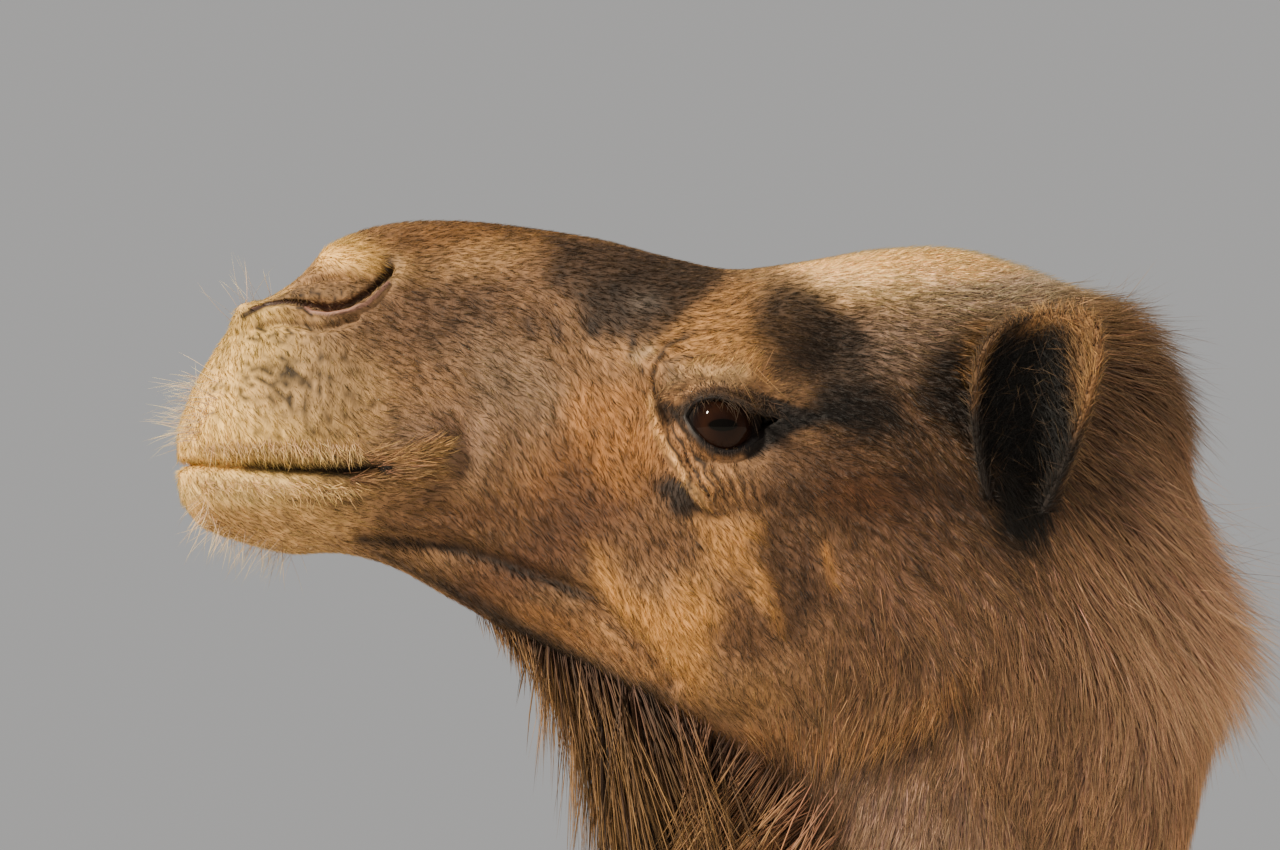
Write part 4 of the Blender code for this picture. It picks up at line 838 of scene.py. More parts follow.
def laid_rings(name, rows, segments, place, size, push, side=1.0):
    """A closed tube through stations, made from a sphere whose rings are laid on them."""
    row = smooth_through(rows, place)
    upper, lower, half = row[:, 0:2], row[:, 2:4], row[:, 4]
    square, taper, middle_x = row[:, 5], row[:, 6], row[:, 7]
    centre, reach = (upper + lower) / 2, (upper - lower) / 2
    depth = np.linalg.norm(reach, axis=1)
    across = np.stack([reach[:, 1], -reach[:, 0]], 1) / depth[:, None]
    last = len(rows) - 1
    ahead, behind = (smooth_through(rows, np.clip(place + by, 0, last)) for by in (0.1, -0.1))
    run = (ahead[:, 0:2] + ahead[:, 2:4] - behind[:, 0:2] - behind[:, 2:4]) / 2
    across = np.where((across * run).sum(1, keepdims=True) < 0, -across, across)
    centre = centre + across * (push * np.minimum(depth, half))[:, None]
    mesh = ball_mesh(name, segments, len(place) - 1)
    ball = points_of(mesh)
    ring, turn = ball_rings(ball, len(place) - 1)
    up, out = np.cos(turn), np.sin(turn)
    power = 2 / square[ring]
    up = np.sign(up) * np.abs(up) ** power * size[ring]
    out = np.sign(out) * np.abs(out) ** power * size[ring]
    placed = np.empty_like(ball)
    placed[:, 0] = side * middle_x[ring] + half[ring] * (1 + taper[ring] * up) * out
    placed[:, 1:] = centre[ring] + reach[ring] * up[:, None]
    set_points(mesh, placed)
    mesh_data = bmesh_from(mesh)
    bmesh.ops.remove_doubles(mesh_data, verts=mesh_data.verts, dist=1e-6)
    bmesh.ops.recalc_face_normals(mesh_data, faces=mesh_data.faces)
    return mesh_from(name, mesh_data)


def loft(name, rows, segments, first=0.0, back=ROUND_END, side=1.0):
    """A closed tube through all the stations, rounded at the first, and at the last unless back is 0."""
    last = len(rows) - 1.0
    ahead = np.arange(5) / 5 * math.pi / 2
    behind = ahead[::-1] if back else ahead[:1]
    middle = np.linspace(first, last, round((last - first) * RINGS_PER_STATION) + 1)
    place = np.concatenate([0 * ahead + first, middle, 0 * behind + last])
    size = np.concatenate([np.sin(ahead), 0 * middle + 1, np.sin(behind)])
    push = np.concatenate([-np.cos(ahead) * ROUND_END, 0 * middle, np.cos(behind) * back])
    return laid_rings(name, rows, segments, place, size, push, side)


def head_rows():
    """The head's stations in metres, without the coat's depth."""
    rows = np.array([row[1:8] for row in HEAD_NECK], float)
    rows[:, :5] *= MM
    rows[:, [0, 2]] += EYE[1]
    rows[:, [1, 3]] += EYE[2]
    return np.hstack([rows, np.zeros((len(rows), 1))])


def body_rows(stations, foot=0.0):
    """The stations of a part of the body in metres, a leg's set back towards its foot."""
    rows = np.array([row[1:] for row in stations], float)
    rows[:, [0, 2]] += foot * np.maximum(0.0, 1 - rows[:, [1, 3]] / STAGGER_TOP)
    rows[:, [0, 2]] += PLUMB_Y
    return rows if rows.shape[1] == 8 else np.hstack([rows, np.zeros((len(rows), 1))])


def along_neck(points):
    """For points of the head and neck: the place in its stations, and the turn about its middle."""
    places = np.linspace(0, NECK_JOIN + 1, 260)
    row = smooth_through(head_rows(), places)
    centre, reach = (row[:, 0:2] + row[:, 2:4]) / 2, (row[:, 0:2] - row[:, 2:4]) / 2
    depth = np.linalg.norm(reach, axis=1)
    up = reach / depth[:, None]
    across = np.stack([-up[:, 1], up[:, 0]], 1)
    across *= np.sign((across * np.gradient(centre, axis=0)).sum(1))[:, None]
    off = points[:, None, 1:].astype(np.float32) - centre[None].astype(np.float32)
    past = np.abs((off * across[None]).sum(2))
    high = (off * up[None]).sum(2) / depth
    best = np.argmin(past + 0.02 * np.maximum(np.abs(high) - 1.05, 0), axis=1)
    each = np.arange(len(points))
    return places[best], np.arctan2(points[:, 0] / row[best, 4], high[each, best])


def baked(thing, name):
    """The thing's mesh with its modifiers applied."""
    bpy.context.view_layer.update()
    shape = thing.evaluated_get(bpy.context.evaluated_depsgraph_get())
    mesh = bpy.data.meshes.new_from_object(shape)
    mesh.name = name
    bpy.data.objects.remove(thing)
    return mesh


def coat_depth_of_body(points):
    """How deep the skin lies inside the body's outline, in metres."""
    y, z = points[:, 1] - PLUMB_Y, points[:, 2]
    depth = np.full(len(points), 0.008)
    depth += 0.012 * np.exp(-(((y - 0.53) / 0.28) ** 2) - ((z - 2.12) / 0.14) ** 2)
    depth += 0.005 * eased((0.0 - y) / 0.2) * eased((z - 1.0) / 0.3)
    return depth * eased(z / 0.5) * (0.45 + 0.55 * eased((z - 0.85) / 0.45)) + 0.0005


def coat_depth_of_head(place):
    """How deep the skin lies inside the head's outline at a place in its stations, in metres."""
    return smooth_through(np.array([[row[8]] for row in HEAD_NECK]), place)[:, 0] * MM


# ---------------------------------------------------------------- the skin
def body_skin(voxel):
    """Trunk, hump, legs, tail and neck root as one smooth closed skin."""
    meshes = [
        loft("neck root", head_rows(), 64, first=20.0),
        loft("trunk", body_rows(TRUNK), 72),
        loft("hump", body_rows(HUMP), 56),
        loft("tail", body_rows(TAIL), 24, back=0.8),
    ]
    meshes += [loft(name, body_rows(rows, foot), 40, back=0.0, side=side) for name, rows, side, foot in LEGS]
    mesh_data = bmesh.new()
    for mesh in meshes:
        mesh_data.from_mesh(mesh)
        bpy.data.meshes.remove(mesh)
    whole = linked("body", mesh_from("body", mesh_data))
    remesh = whole.modifiers.new("one surface", "REMESH")
    remesh.mode = "VOXEL"
    remesh.voxel_size = voxel
    soften = whole.modifiers.new("soften", "SMOOTH")
    soften.factor, soften.iterations = 0.5, 7
    mesh = baked(whole, "body skin")
    points, normals = points_of(mesh), normals_of(mesh)
    rise = np.zeros(len(points))
    for _, *place, height in BODY_FORMS:
        rise += height * np.exp(-body_away(points, place[:3], place[3:]))
    points = points + normals * (rise - coat_depth_of_body(points))[:, None]
    points[:, 2] = np.maximum(points[:, 2] - SOLE_DROP * eased(1 - points[:, 2] / PAD_HEIGHT), SOLE_HEIGHT)
    set_points(mesh, points)
    return mesh


def cut_at_neck(mesh):
    """The body's skin, opened where the neck joins it."""
    mesh_data = bmesh_from(mesh)
    row = smooth_through(head_rows(), np.array([NECK_JOIN + 0.12]))[0]
    upper, lower = row[0:2], row[2:4]
    normal = Vector((0, lower[1] - upper[1], upper[0] - lower[0])).normalized()
    if normal.y < 0:
        normal = -normal
    bmesh.ops.bisect_plane(
        mesh_data, geom=[*mesh_data.verts, *mesh_data.edges, *mesh_data.faces],
        plane_co=(0, *((upper + lower) / 2)), plane_no=normal, dist=1e-5, clear_inner=True,
    )
    return mesh_from("body skin", mesh_data)


def head_skin(segments):
    """The head and neck down to the join, with folds, its fine parts divided further."""
    bend = np.arange(8) / 8 * math.pi / 2
    middle = np.concatenate([np.arange(0, 17, 0.105), np.arange(17, NECK_JOIN, 0.15), [NECK_JOIN]])
    place = np.concatenate([0 * bend, middle, [NECK_JOIN]])
    size = np.concatenate([np.sin(bend), 0 * middle + 1, [0.0]])
    push = np.concatenate([-np.cos(bend) * 0.08, 0 * middle, [0.0]])
    mesh_data = bmesh_from(laid_rings("head skin", head_rows(), segments, place, size, push))
    end = max((v for v in mesh_data.verts if len(v.link_edges) > 20), key=lambda v: v.co.y)
    bmesh.ops.delete(mesh_data, geom=[end], context="VERTS")
    for widths, widest in ((2.4, 9), (1.6, 2.5)):
        faces = list(mesh_data.faces)
        x, y, z = from_eye(np.array([face.calc_center_median() for face in faces]))
        near = np.zeros(len(faces), bool)
        for _, line, width, _, begins in HEAD_FOLDS:
            if width < widest:
                near |= (from_line(y, z, line) < widths * width + 1) & (x >= begins - 4)
        # a dict keeps the edges in order, where a set would mix them differently each run
        chosen = dict.fromkeys(edge for face, take in zip(faces, near) if take for edge in face.edges)
        bmesh.ops.subdivide_edges(mesh_data, edges=list(chosen), cuts=1, use_grid_fill=True)
        bmesh.ops.triangulate(mesh_data, faces=[f for f in mesh_data.faces if len(f.verts) > 4])
    mesh = mesh_from("head skin", mesh_data)
    points, normals = points_of(mesh), normals_of(mesh)
    depth = coat_depth_of_head(along_neck(points)[0])
    set_points(mesh, points + normals * (head_heights(points) - depth)[:, None])
    return mesh


def in_hole(point, side):
    """Whether a point of the head lies where an eye's lids are set in."""
    y, z = (point.y - EYE[1]) / MM - 2, (point.z - EYE[2]) / MM
    return point.x * side > 0.04 and math.hypot(y / HOLE[0], z / HOLE[1]) < 1


def eye_outline(angles):
    """How far the opening's rim is from its middle at each angle, in millimetres."""
    rim = np.array(EYE_OPENING) - (4, 0.5)
    at = np.arctan2(rim[:, 1], rim[:, 0])
    order = np.argsort(at)
    return np.interp(angles, at[order], np.hypot(rim[:, 0], rim[:, 1])[order], period=2 * math.pi)


def soft_max(a, b, blend):
    return (a + b + np.sqrt((a - b) ** 2 + blend**2)) / 2


LID_SEGMENTS = 112
LID_ROWS = 26
HOLE = (47, 34)  # the opening in the head's skin that the lids fill, in millimetres


def lids(side, surface):
    """Both lids of an eye, from the skin around them over the rim and on behind the eyeball."""
    mesh = ball_mesh("lids", LID_SEGMENTS, LID_ROWS)
    row, angle = ball_rings(points_of(mesh), LID_ROWS)
    rim = eye_outline(angle)
    edge = np.hypot(HOLE[0] * 0.95 * np.cos(angle), HOLE[1] * 0.95 * np.sin(angle))
    radius_mm = EYE_RADIUS / MM
    share = np.clip((row - 7) / (LID_ROWS - 1 - 7), 0, 1) ** 1.25
    away = rim + share * (edge - rim)
    away = np.where(row == 6, rim - 0.5, np.where(row == 5, rim - 1.4, away))
    y, z = 4 * (1 - share) + 2 * share + away * np.cos(angle), 0.5 + away * np.sin(angle)
    reach = np.hypot(y, z)
    inside = np.minimum(reach, 0.82 * radius_mm)
    bulge = np.sqrt(radius_mm**2 - inside**2) - 1.43 * np.maximum(reach - 0.82 * radius_mm, 0)
    over_eye = np.interp(row, [5, 6, 7, 8, 10, 13], [-0.6, 0.5, 1.5, 2.2, 2.6, 2.2])
    over_eye = over_eye * np.where(np.sin(angle) > 0, 1 + 0.6 * np.sin(angle), 1)
    fold = np.where(np.sin(angle) > 0, 1.0, 0.55)
    past_rim = away - rim
    over_eye = over_eye - fold * 1.3 * np.exp(-(((past_rim - 5.5) / 1.5) ** 2))
    over_eye = over_eye + fold * 1.2 * np.exp(-(((past_rim - 9.5) / 2.6) ** 2))
    waves = np.sin(past_rim * 1.9 + 2.2 * np.sin(2 * angle))
    over_eye = over_eye + 0.5 * waves * np.exp(-(((past_rim - 12) / 8) ** 2))
    lid_x = EYE[0] / MM + bulge + over_eye
    skin_x = np.array([surface(side, EYE[1] + a * MM, EYE[2] + b * MM) for a, b in zip(y, z)]) / MM
    blended = soft_max(skin_x, lid_x, 3.0)
    outer = skin_x + (blended - skin_x) * (1 - eased((share - 0.72) / 0.28))
    x = np.where(row >= 8, outer, lid_x)
    behind = row <= 4
    tilt = np.radians(np.interp(row, [0, 4], [180, 84]))
    socket = radius_mm + 0.8
    x = np.where(behind, EYE[0] / MM + socket * np.cos(tilt), x)
    y = np.where(behind, socket * np.sin(tilt) * np.cos(angle), y)
    z = np.where(behind, socket * np.sin(tilt) * np.sin(angle), z)
    set_points(mesh, np.stack([side * x * MM, EYE[1] + y * MM, EYE[2] + z * MM], 1))
    mesh_data = bmesh_from(mesh)
    mesh_data.verts.ensure_lookup_table()
    last_row = [mesh_data.verts[i] for i in np.flatnonzero(row == LID_ROWS)]
    bmesh.ops.delete(mesh_data, geom=last_row, context="VERTS")
    return mesh_from("lids", mesh_data)


def ear_sheet(side):
    """One ear: a sheet curled about its own length, then thickened."""
    mesh_data = bmesh.new()
    bmesh.ops.create_grid(mesh_data, x_segments=30, y_segments=36, size=1)
    mesh = mesh_from("ear", mesh_data)
    points = points_of(mesh)
    along, curl = (points[:, 0] + 1) / 2, points[:, 1]
    rounded = np.interp(along, EAR_ALONG, EAR_RADIUS)
    angle = curl * np.radians(np.interp(along, EAR_ALONG, EAR_ANGLE))
    sheet = np.stack([0.6 * rounded * (1 - np.cos(angle)), rounded * np.sin(angle), along * EAR_LENGTH], 1)
    sheet[:, 0] -= EAR_BEND * along**2
    sheet[:, 2] += EAR_SHEAR * along * sheet[:, 1]
    set_points(mesh, (EAR_BASE + sheet @ EAR_TURN.T) * (side, 1, 1))
    thing = linked("ear", mesh)
    thick = thing.modifiers.new("thickness", "SOLIDIFY")
    thick.thickness, thick.offset = EAR_THICKNESS, 0
    return baked(thing, "ear thick")


def in_ear(points, side):
    """Where points are in an ear's own frame: out from its base, back and along it."""
    return (points * (side, 1, 1) - EAR_BASE) @ EAR_TURN


def tagged(mesh_data, mesh, part):
    """Adds a mesh to a bmesh, marking its faces with their part, and returns its open edges."""
    faces_before, edges_before = len(mesh_data.faces), len(mesh_data.edges)
    mesh_data.from_mesh(mesh)
    bpy.data.meshes.remove(mesh)
    mesh_data.faces.ensure_lookup_table()
    mesh_data.edges.ensure_lookup_table()
    layer = mesh_data.faces.layers.int["part"]
    for face in mesh_data.faces[faces_before:]:
        face[layer] = part
    return [edge for edge in mesh_data.edges[edges_before:] if edge.is_boundary]


def leg_or_tail(at):
    """The part that a place on the body's skin belongs to."""
    behind = at.y - PLUMB_Y
    if at.z < LEG_TOP and abs(at.x) > 0.045 and behind < 1.27:
        return LEG_PART + (0 if behind < 0.4 else 2) + (0 if at.x > 0 else 1)
    if behind > 1.27 and abs(at.x) < 0.05 and at.z < 1.66:
        return TAIL_PART
    return TRUNK_PART


def make_skin(props):
    """The whole skin as one mesh, with the part of each face."""
    head = bmesh_from(head_skin(props.head_segments))
    tree = BVHTree.FromBMesh(head)

    def surface(side, y, z):
        """How far out the head's skin is at a place on one side."""
        return abs(tree.ray_cast(Vector((side * 0.3, y, z)), Vector((-side, 0, 0)))[0].x)

    patches = [lids(side, surface) for side in (1, -1)]
    for side in (1, -1):
        bmesh.ops.delete(head, geom=[vert for vert in head.verts if in_hole(vert.co, side)], context="VERTS")
    mesh_data = bmesh.new()
    mesh_data.faces.layers.int.new("part")
    open_edges = tagged(mesh_data, mesh_from("head", head), NECK_PART)
    rims = [tagged(mesh_data, patch, LID_PART + number) for number, patch in enumerate(patches)]
    body_edge = tagged(mesh_data, cut_at_neck(body_skin(props.voxel)), TRUNK_PART)
    for number, side in enumerate((1, -1)):
        tagged(mesh_data, ear_sheet(side), EAR_PART + number)
    layer = mesh_data.faces.layers.int["part"]
    high = [edge for edge in open_edges if edge.verts[0].co.z > EYE[2] - 0.1]
    eyes = [[edge for edge in high if edge.verts[0].co.x * side > 0] for side in (1, -1)]
    taken = set(eyes[0] + eyes[1])
    neck_edge = [edge for edge in open_edges if edge not in taken]
    joins = ((eyes[0], rims[0], NECK_PART), (eyes[1], rims[1], NECK_PART), (neck_edge, body_edge, TRUNK_PART))
    for first, second, part in joins:
        for face in bmesh.ops.bridge_loops(mesh_data, edges=[*first, *second])["faces"]:
            face[layer] = part
    bmesh.ops.triangulate(mesh_data, faces=mesh_data.faces)
    closed = [face for face in mesh_data.faces if face[layer] < EAR_PART]
    bmesh.ops.recalc_face_normals(mesh_data, faces=closed)
    for face in mesh_data.faces:
        if face[layer] == TRUNK_PART:
            face[layer] = leg_or_tail(face.calc_center_median())
    return mesh_from("skin", mesh_data)


def skin_map(points, corners, part):
    """The unwrap of the skin's own shape, one place for each corner of each triangle."""
    found = np.zeros((len(corners), 3, 2))
    x, y, z = np.moveaxis(points[corners], 2, 0)

    def lay(number, box, angle, height, seam):
        """Lays a part in its box by its angle and height, each triangle on one side of the seam."""
        chosen = part == number
        turns = angle[chosen] / (2 * math.pi) + 0.5
        wide = turns.max(1, keepdims=True) - turns.min(1, keepdims=True) > 0.5
        turns = turns + np.where(wide & (turns < 0.5), 1.0, 0.0)
        found[chosen] = np.stack([box[0] + box[2] * (turns / seam), box[1] + box[3] * height[chosen]], -1)

    used = np.unique(corners[part == NECK_PART])
    place, turn = np.zeros(len(points)), np.zeros(len(points))
    place[used], turn[used] = along_neck(points[used])
    lay(NECK_PART, MAP_NECK, turn[corners], place[corners] / (NECK_JOIN + 1), 1.03)
    lay(TRUNK_PART, MAP_TRUNK, np.arctan2(x, z - 1.45), (y - PLUMB_Y + 0.85) / 2.35, 1.03)
    for number, (_, stations, side, foot) in enumerate(LEGS):
        heights = np.clip(z, 0, LEG_TOP)
        rows = np.array([[row[2], (row[1] + row[3]) / 2, row[8]] for row in stations])[::-1]
        middle_y = PLUMB_Y + np.interp(heights, rows[:, 0], rows[:, 1]) + foot * (1 - heights / STAGGER_TOP)
        middle_x = np.interp(heights, rows[:, 0], rows[:, 2]) * side
        angle = np.arctan2(x - middle_x, y - middle_y)
        lay(LEG_PART + number, MAP_LEGS[number], angle, heights / LEG_TOP, 1.1)
    lay(TAIL_PART, MAP_TAIL, np.arctan2(x, y - PLUMB_Y - 1.35), (z - 0.9) / 0.8, 1.1)
    away = np.where(np.abs(x) < EYE[0] + 0.004, 0.02, 0.1 + 0.9 * np.hypot(z - EYE[2], y - EYE[1]) / 0.048)
    for number, side in enumerate((1, -1)):
        lay(LID_PART + number, MAP_LIDS[number], np.arctan2(z - EYE[2], y - EYE[1]), away, 1.05)
        out, back, along = np.moveaxis(in_ear(points, side)[corners], 2, 0)
        angle = np.arctan2(back, out - 0.012)
        lay(EAR_PART + number, MAP_EARS[number], angle, np.clip(along / 0.11, 0, 1), 1.05)
    return found


class Surface:
    """The finished skin as triangles, to root the coat on."""

    def __init__(self, mesh):
        corners = np.empty(len(mesh.loops), int)
        mesh.loops.foreach_get("vertex_index", corners)
        self.corners = corners.reshape(-1, 3)
        self.part = np.empty(len(mesh.polygons), int)
        mesh.attributes["part"].data.foreach_get("value", self.part)
        self.map = skin_map(points_of(mesh), self.corners, self.part)
        self.points, self.normals = points_of(mesh)[self.corners], normals_of(mesh)[self.corners]
        self.middle = self.points.mean(1)
        across = np.cross(self.points[:, 1] - self.points[:, 0], self.points[:, 2] - self.points[:, 0])
        self.face, self.area = unit(across), np.linalg.norm(across, axis=1) / 2

    def roots(self, density, count, seed):
        """Evenly scattered places on the skin, as many as count, by each triangle's density."""
        chance = np.random.default_rng(seed)
        weight = np.cumsum(self.area * density)
        at = (np.arange(count) + chance.random(count)) / count * weight[-1]
        tri = np.clip(np.searchsorted(weight, at), 0, len(weight) - 1)
        a, b = chance.random(count), chance.random(count)
        fold = a + b > 1
        a, b = np.where(fold, 1 - a, a), np.where(fold, 1 - b, b)
        share = np.stack([1 - a - b, a, b], 1)[:, :, None]
        corners = (self.points, self.normals, self.map)
        points, normals, on_map = ((each[tri] * share).sum(1) for each in corners)
        return Roots(points, unit(normals), on_map, chance)


class Roots:
    """Places on the skin where hair grows."""

    def __init__(self, points, normals, on_map, chance):
        self.points, self.normals, self.on_map, self.chance = points, normals, on_map, chance
        self.lie = lie_of_hair(points, normals)
        self.colour = coat_colour(points)

    def __len__(self):
        return len(self.points)


LOCK_REACH = 0.004  # the furthest that a tip is drawn to the middle of its lock
TUFT_TAPER = (0.8, 1.0, 0.75, 0.5, 0.3)  # how wide a tuft with bends is at its root and at each bend
SUNLIT_TIP_TINT = np.array((0.0, 0.14, -0.36))  # painted light: how much more golden a tuft's sunlit tip is than its shaded root


class Locks:
    """Middles that the tufts around them lean to, so that the coat parts into locks."""

    def __init__(self, surface, density, count, seed, shade=0.2, turn=0.16):
        self.roots = surface.roots(density, count, seed)
        self.shade = np.clip(self.roots.chance.normal(1, shade, count), 0.5, 1.6)
        self.turn = self.roots.chance.normal(0, turn, count)
        self.tree = KDTree(count)
        for number, point in enumerate(self.roots.points):
            self.tree.insert(point, number)
        self.tree.balance()

    def nearest(self, points):
        """For each point: the way to its lock's middle, and that lock's shade and turn."""
        found = np.array([self.tree.find(point)[1] for point in points])
        way = self.roots.points[found] - points
        away = np.linalg.norm(way, axis=1, keepdims=True)
        return way * np.minimum(1, LOCK_REACH / np.maximum(away, 1e-6)), self.shade[found], self.turn[found]


def tufts(name, roots, length, width, lift, fall=0.0, joints=0, root_shade=0.6, tip_shade=1.2,
          tip_tint=None, spread=0.25, curl=0.0, thick=0.5, locks=None, pull=0.6, own_shade=0.24):
    """One mesh of closed tapered tufts, each a thin three-sided spike that follows the lie of the hair.

    length, width and lift (radians off the skin) are numbers or arrays. fall is how far the tip drops, as
    a share of the length. joints is how many bends a tuft has. pull is how far tips gather into locks.
    """
    count, chance = len(roots), roots.chance
    length = length * chance.uniform(1 - spread, 1 + spread, count)
    width = width * chance.uniform(0.75, 1.25, count)
    lift = lift * chance.uniform(0.5, 1.5, count)
    turn = chance.normal(0, 0.13, count)
    to_middle, lock_shade = np.zeros((count, 3)), np.ones(count)
    if locks:
        to_middle, lock_shade, lock_turn = locks.nearest(roots.points)
        turn = 0.7 * turn + lock_turn
    lie = unit(roots.lie + turn[:, None] * np.cross(roots.normals, roots.lie))
    across = unit(np.cross(roots.normals, lie))
    t = np.linspace(0, 1, joints + 2)
    sway = chance.normal(0, 1, count) * curl

    def reaching(way, size, share):
        """How far each tuft goes one way, at each of its joints."""
        return (way * np.reshape(size, (-1, 1)))[:, None] * share[None, :, None]

    path = (
        roots.points[:, None]
        + reaching(lie, length * np.cos(lift), t)
        + reaching(roots.normals, length * np.sin(lift), t - 0.35 * t**2)
        + reaching(across, length * sway, t**2)
        + reaching(DOWN, length * fall, t**2)
        + reaching(to_middle, pull, t**1.3)
        - reaching(roots.normals, 0.5 * width, 1 - t)
    )
    taper = np.array(TUFT_TAPER[:joints + 1] if joints else (1.0,))
    wide = (width[:, None] * taper)[..., None]
    body = path[:, :-1]
    left, right = body + across[:, None] * wide / 2, body - across[:, None] * wide / 2
    top = body + roots.normals[:, None] * (wide * thick)
    rings = np.stack([left, right, top], 2).reshape(count, -1, 3)
    points = np.concatenate([rings, path[:, -1:]], 1)
    each = points.shape[1]
    faces = [(0, 1, 2)]
    for level in range(joints):
        a = 3 * level
        for i, j in ((0, 2), (2, 1), (1, 0)):
            faces += [(a + i, a + j, a + 3 + j), (a + i, a + 3 + j, a + 3 + i)]
    a = 3 * joints
    faces += [(a + 0, a + 2, each - 1), (a + 2, a + 1, each - 1), (a + 1, a + 0, each - 1)]
    faces = (np.array(faces)[None] + (np.arange(count) * each)[:, None, None]).reshape(-1, 3)
    own = chance.normal(1, own_shade, (count, 1)) * (1 + 0.04 * chance.normal(0, 1, (count, 3)))
    own = np.clip(own * lock_shade[:, None], 0.35, 1.9)
    # dark roots and bright tips: partly the hair's own tone, partly painted shade deep in the coat and
    # painted light on the tips
    step = np.concatenate([np.repeat(t[:-1], 3), [1.0]])
    root_shade = np.broadcast_to(root_shade, count)[:, None]
    shade = root_shade + (tip_shade - root_shade) * step
    # painted light and shade: the sunlit tip warmer, the shaded root cooler
    warm = 1 + (step - 0.5)[:, None] * SUNLIT_TIP_TINT
    colour = roots.colour[:, None] * own[:, None] * shade[..., None] * warm
    if tip_tint is not None:
        tint, strength = tip_tint
        share = (strength * chance.random(count) ** 1.5)[:, None, None] * (step**1.4)[None, :, None]
        colour = colour + share * (tone(*tint) - colour)
    patch = np.concatenate([np.tile([(-0.4, 0.0), (0.4, 0.0), (0.0, 0.0)], (joints + 1, 1)), [(0.0, 0.5)]])
    patch[:-1, 1] = np.repeat(t[:-1] - 0.5, 3)
    on_map = roots.on_map[:, None] + patch[None] * TUFT_PATCH
    return array_mesh(name, points.reshape(-1, 3), faces, colour.reshape(-1, 3), on_map.reshape(-1, 2))


def array_mesh(name, points, faces, colour, on_map):
    """A piece made from arrays of points and triangles, with its colours and its map."""
    mesh = bpy.data.meshes.new(name)
    mesh.vertices.add(len(points))
    mesh.vertices.foreach_set("co", points.astype(np.float32).ravel())
    mesh.loops.add(3 * len(faces))
    mesh.loops.foreach_set("vertex_index", faces.astype(np.int32).ravel())
    mesh.polygons.add(len(faces))
    mesh.polygons.foreach_set("loop_start", np.arange(0, 3 * len(faces), 3, dtype=np.int32))
    mesh.update(calc_edges=True)
    paint(mesh, colour)
    add_map(mesh, on_map[faces.ravel()])
    return linked(name, mesh)


def add_map(mesh, on_map):
    """Writes a mesh's places on its OFBake map."""
    mesh.uv_layers.new(name="OFBake").data.foreach_set("uv", on_map.astype(np.float32).ravel())


def paint(mesh, colour, bare=None):
    """Writes the markings, painted light and shade included, and how bare the skin is, onto a mesh's points.
    """
    rgba = np.ones((len(colour), 4), np.float32)
    rgba[:, :3] = colour / np.maximum(colour.max(1, keepdims=True), 1)
    mesh.color_attributes.new("coat", "FLOAT_COLOR", "POINT").data.foreach_set("color", rgba.ravel())
    if bare is not None:
        mesh.attributes.new("bare", "FLOAT", "POINT").data.foreach_set("value", bare.astype(np.float32))


# ---------------------------------------------------------------- shaders
class Wire:
    """A shader socket that takes part in sums. A sum on wires adds its Math nodes."""

    def __init__(self, tree, socket):
        self.tree, self.socket = tree, socket

    def _math(self, operation, first, second=None):
        node = self.tree.nodes.new("ShaderNodeMath")
        node.operation = operation
        for place, value in enumerate((first, second)):
            if isinstance(value, Wire):
                self.tree.links.new(value.socket, node.inputs[place])
            elif value is not None:
                node.inputs[place].default_value = value
        return Wire(self.tree, node.outputs[0])

    def __add__(self, other):
        return self._math("ADD", self, other)

    def __sub__(self, other):
        return self._math("SUBTRACT", self, other)

    def __rsub__(self, other):
        return self._math("SUBTRACT", other, self)

    def __mul__(self, other):
        return self._math("MULTIPLY", self, other)

    def __pow__(self, other):
        return self._math("POWER", self, other)

    __radd__ = __add__
    __rmul__ = __mul__


class Finish:
    """A material under construction."""

    def __init__(self, name, roughness, **settings):
        self.material = bpy.data.materials.new(name)
        self.material.use_nodes = True
        self.tree = self.material.node_tree
        self.shader = self.tree.nodes["Principled BSDF"]
        self.shader.inputs["Roughness"].default_value = roughness
        for key, value in settings.items():
            self.shader.inputs[key.replace("_", " ")].default_value = value

    def node(self, kind, settings=None, values=None, output=0):
        """One node: its settings first, then the values or wires of its inputs."""
        node = self.tree.nodes.new(kind)
        for key, value in (settings or {}).items():
            if key == "stops":
                ramp = node.color_ramp.elements
                while len(ramp) < len(value):
                    ramp.new(0.5)
                for stop, (place, colour) in zip(ramp, value):
                    stop.position, stop.color = place, (*colour, 1)
            else:
                setattr(node, key, value)
        for key, value in (values or {}).items():
            if isinstance(value, Wire):
                self.tree.links.new(value.socket, node.inputs[key])
            else:
                node.inputs[key].default_value = value
        return Wire(self.tree, node.outputs[output])

    def place(self):
        return self.node("ShaderNodeTexCoord", output=3)

    def noise(self, scale, stretch=(1, 1, 1), detail=3, rough=0.6, turn=(0, 0, 0)):
        placed = {"Vector": self.place(), "Scale": stretch, "Rotation": turn}
        moved = self.node("ShaderNodeMapping", values=placed)
        values = {"Vector": moved, "Scale": scale, "Detail": detail, "Roughness": rough}
        return self.node("ShaderNodeTexNoise", values=values)

    def scaled(self, colour, factor):
        """A colour wire times a number wire."""
        return self.node("ShaderNodeVectorMath", {"operation": "SCALE"}, {0: colour, "Scale": factor})

    def mixed(self, factor, first, second):
        """From one colour to another by a number wire."""
        ends = [end if isinstance(end, Wire) else (*end, 1) for end in (first, second)]
        values = {0: factor, 6: ends[0], 7: ends[1]}
        return self.node("ShaderNodeMix", {"data_type": "RGBA"}, values, output=2)

    def ramp(self, factor, *stops):
        """A colour wire from a number wire, by stops of a place and a colour."""
        return self.node("ShaderNodeValToRGB", {"stops": stops}, {"Fac": factor})

    def bump(self, height, distance, strength=1.0, after=None):
        values = {"Height": height, "Distance": distance, "Strength": strength}
        if after:
            values["Normal"] = after
        return self.node("ShaderNodeBump", values=values)

    def feeds(self, name, wire):
        self.tree.links.new(wire.socket, self.shader.inputs[name])


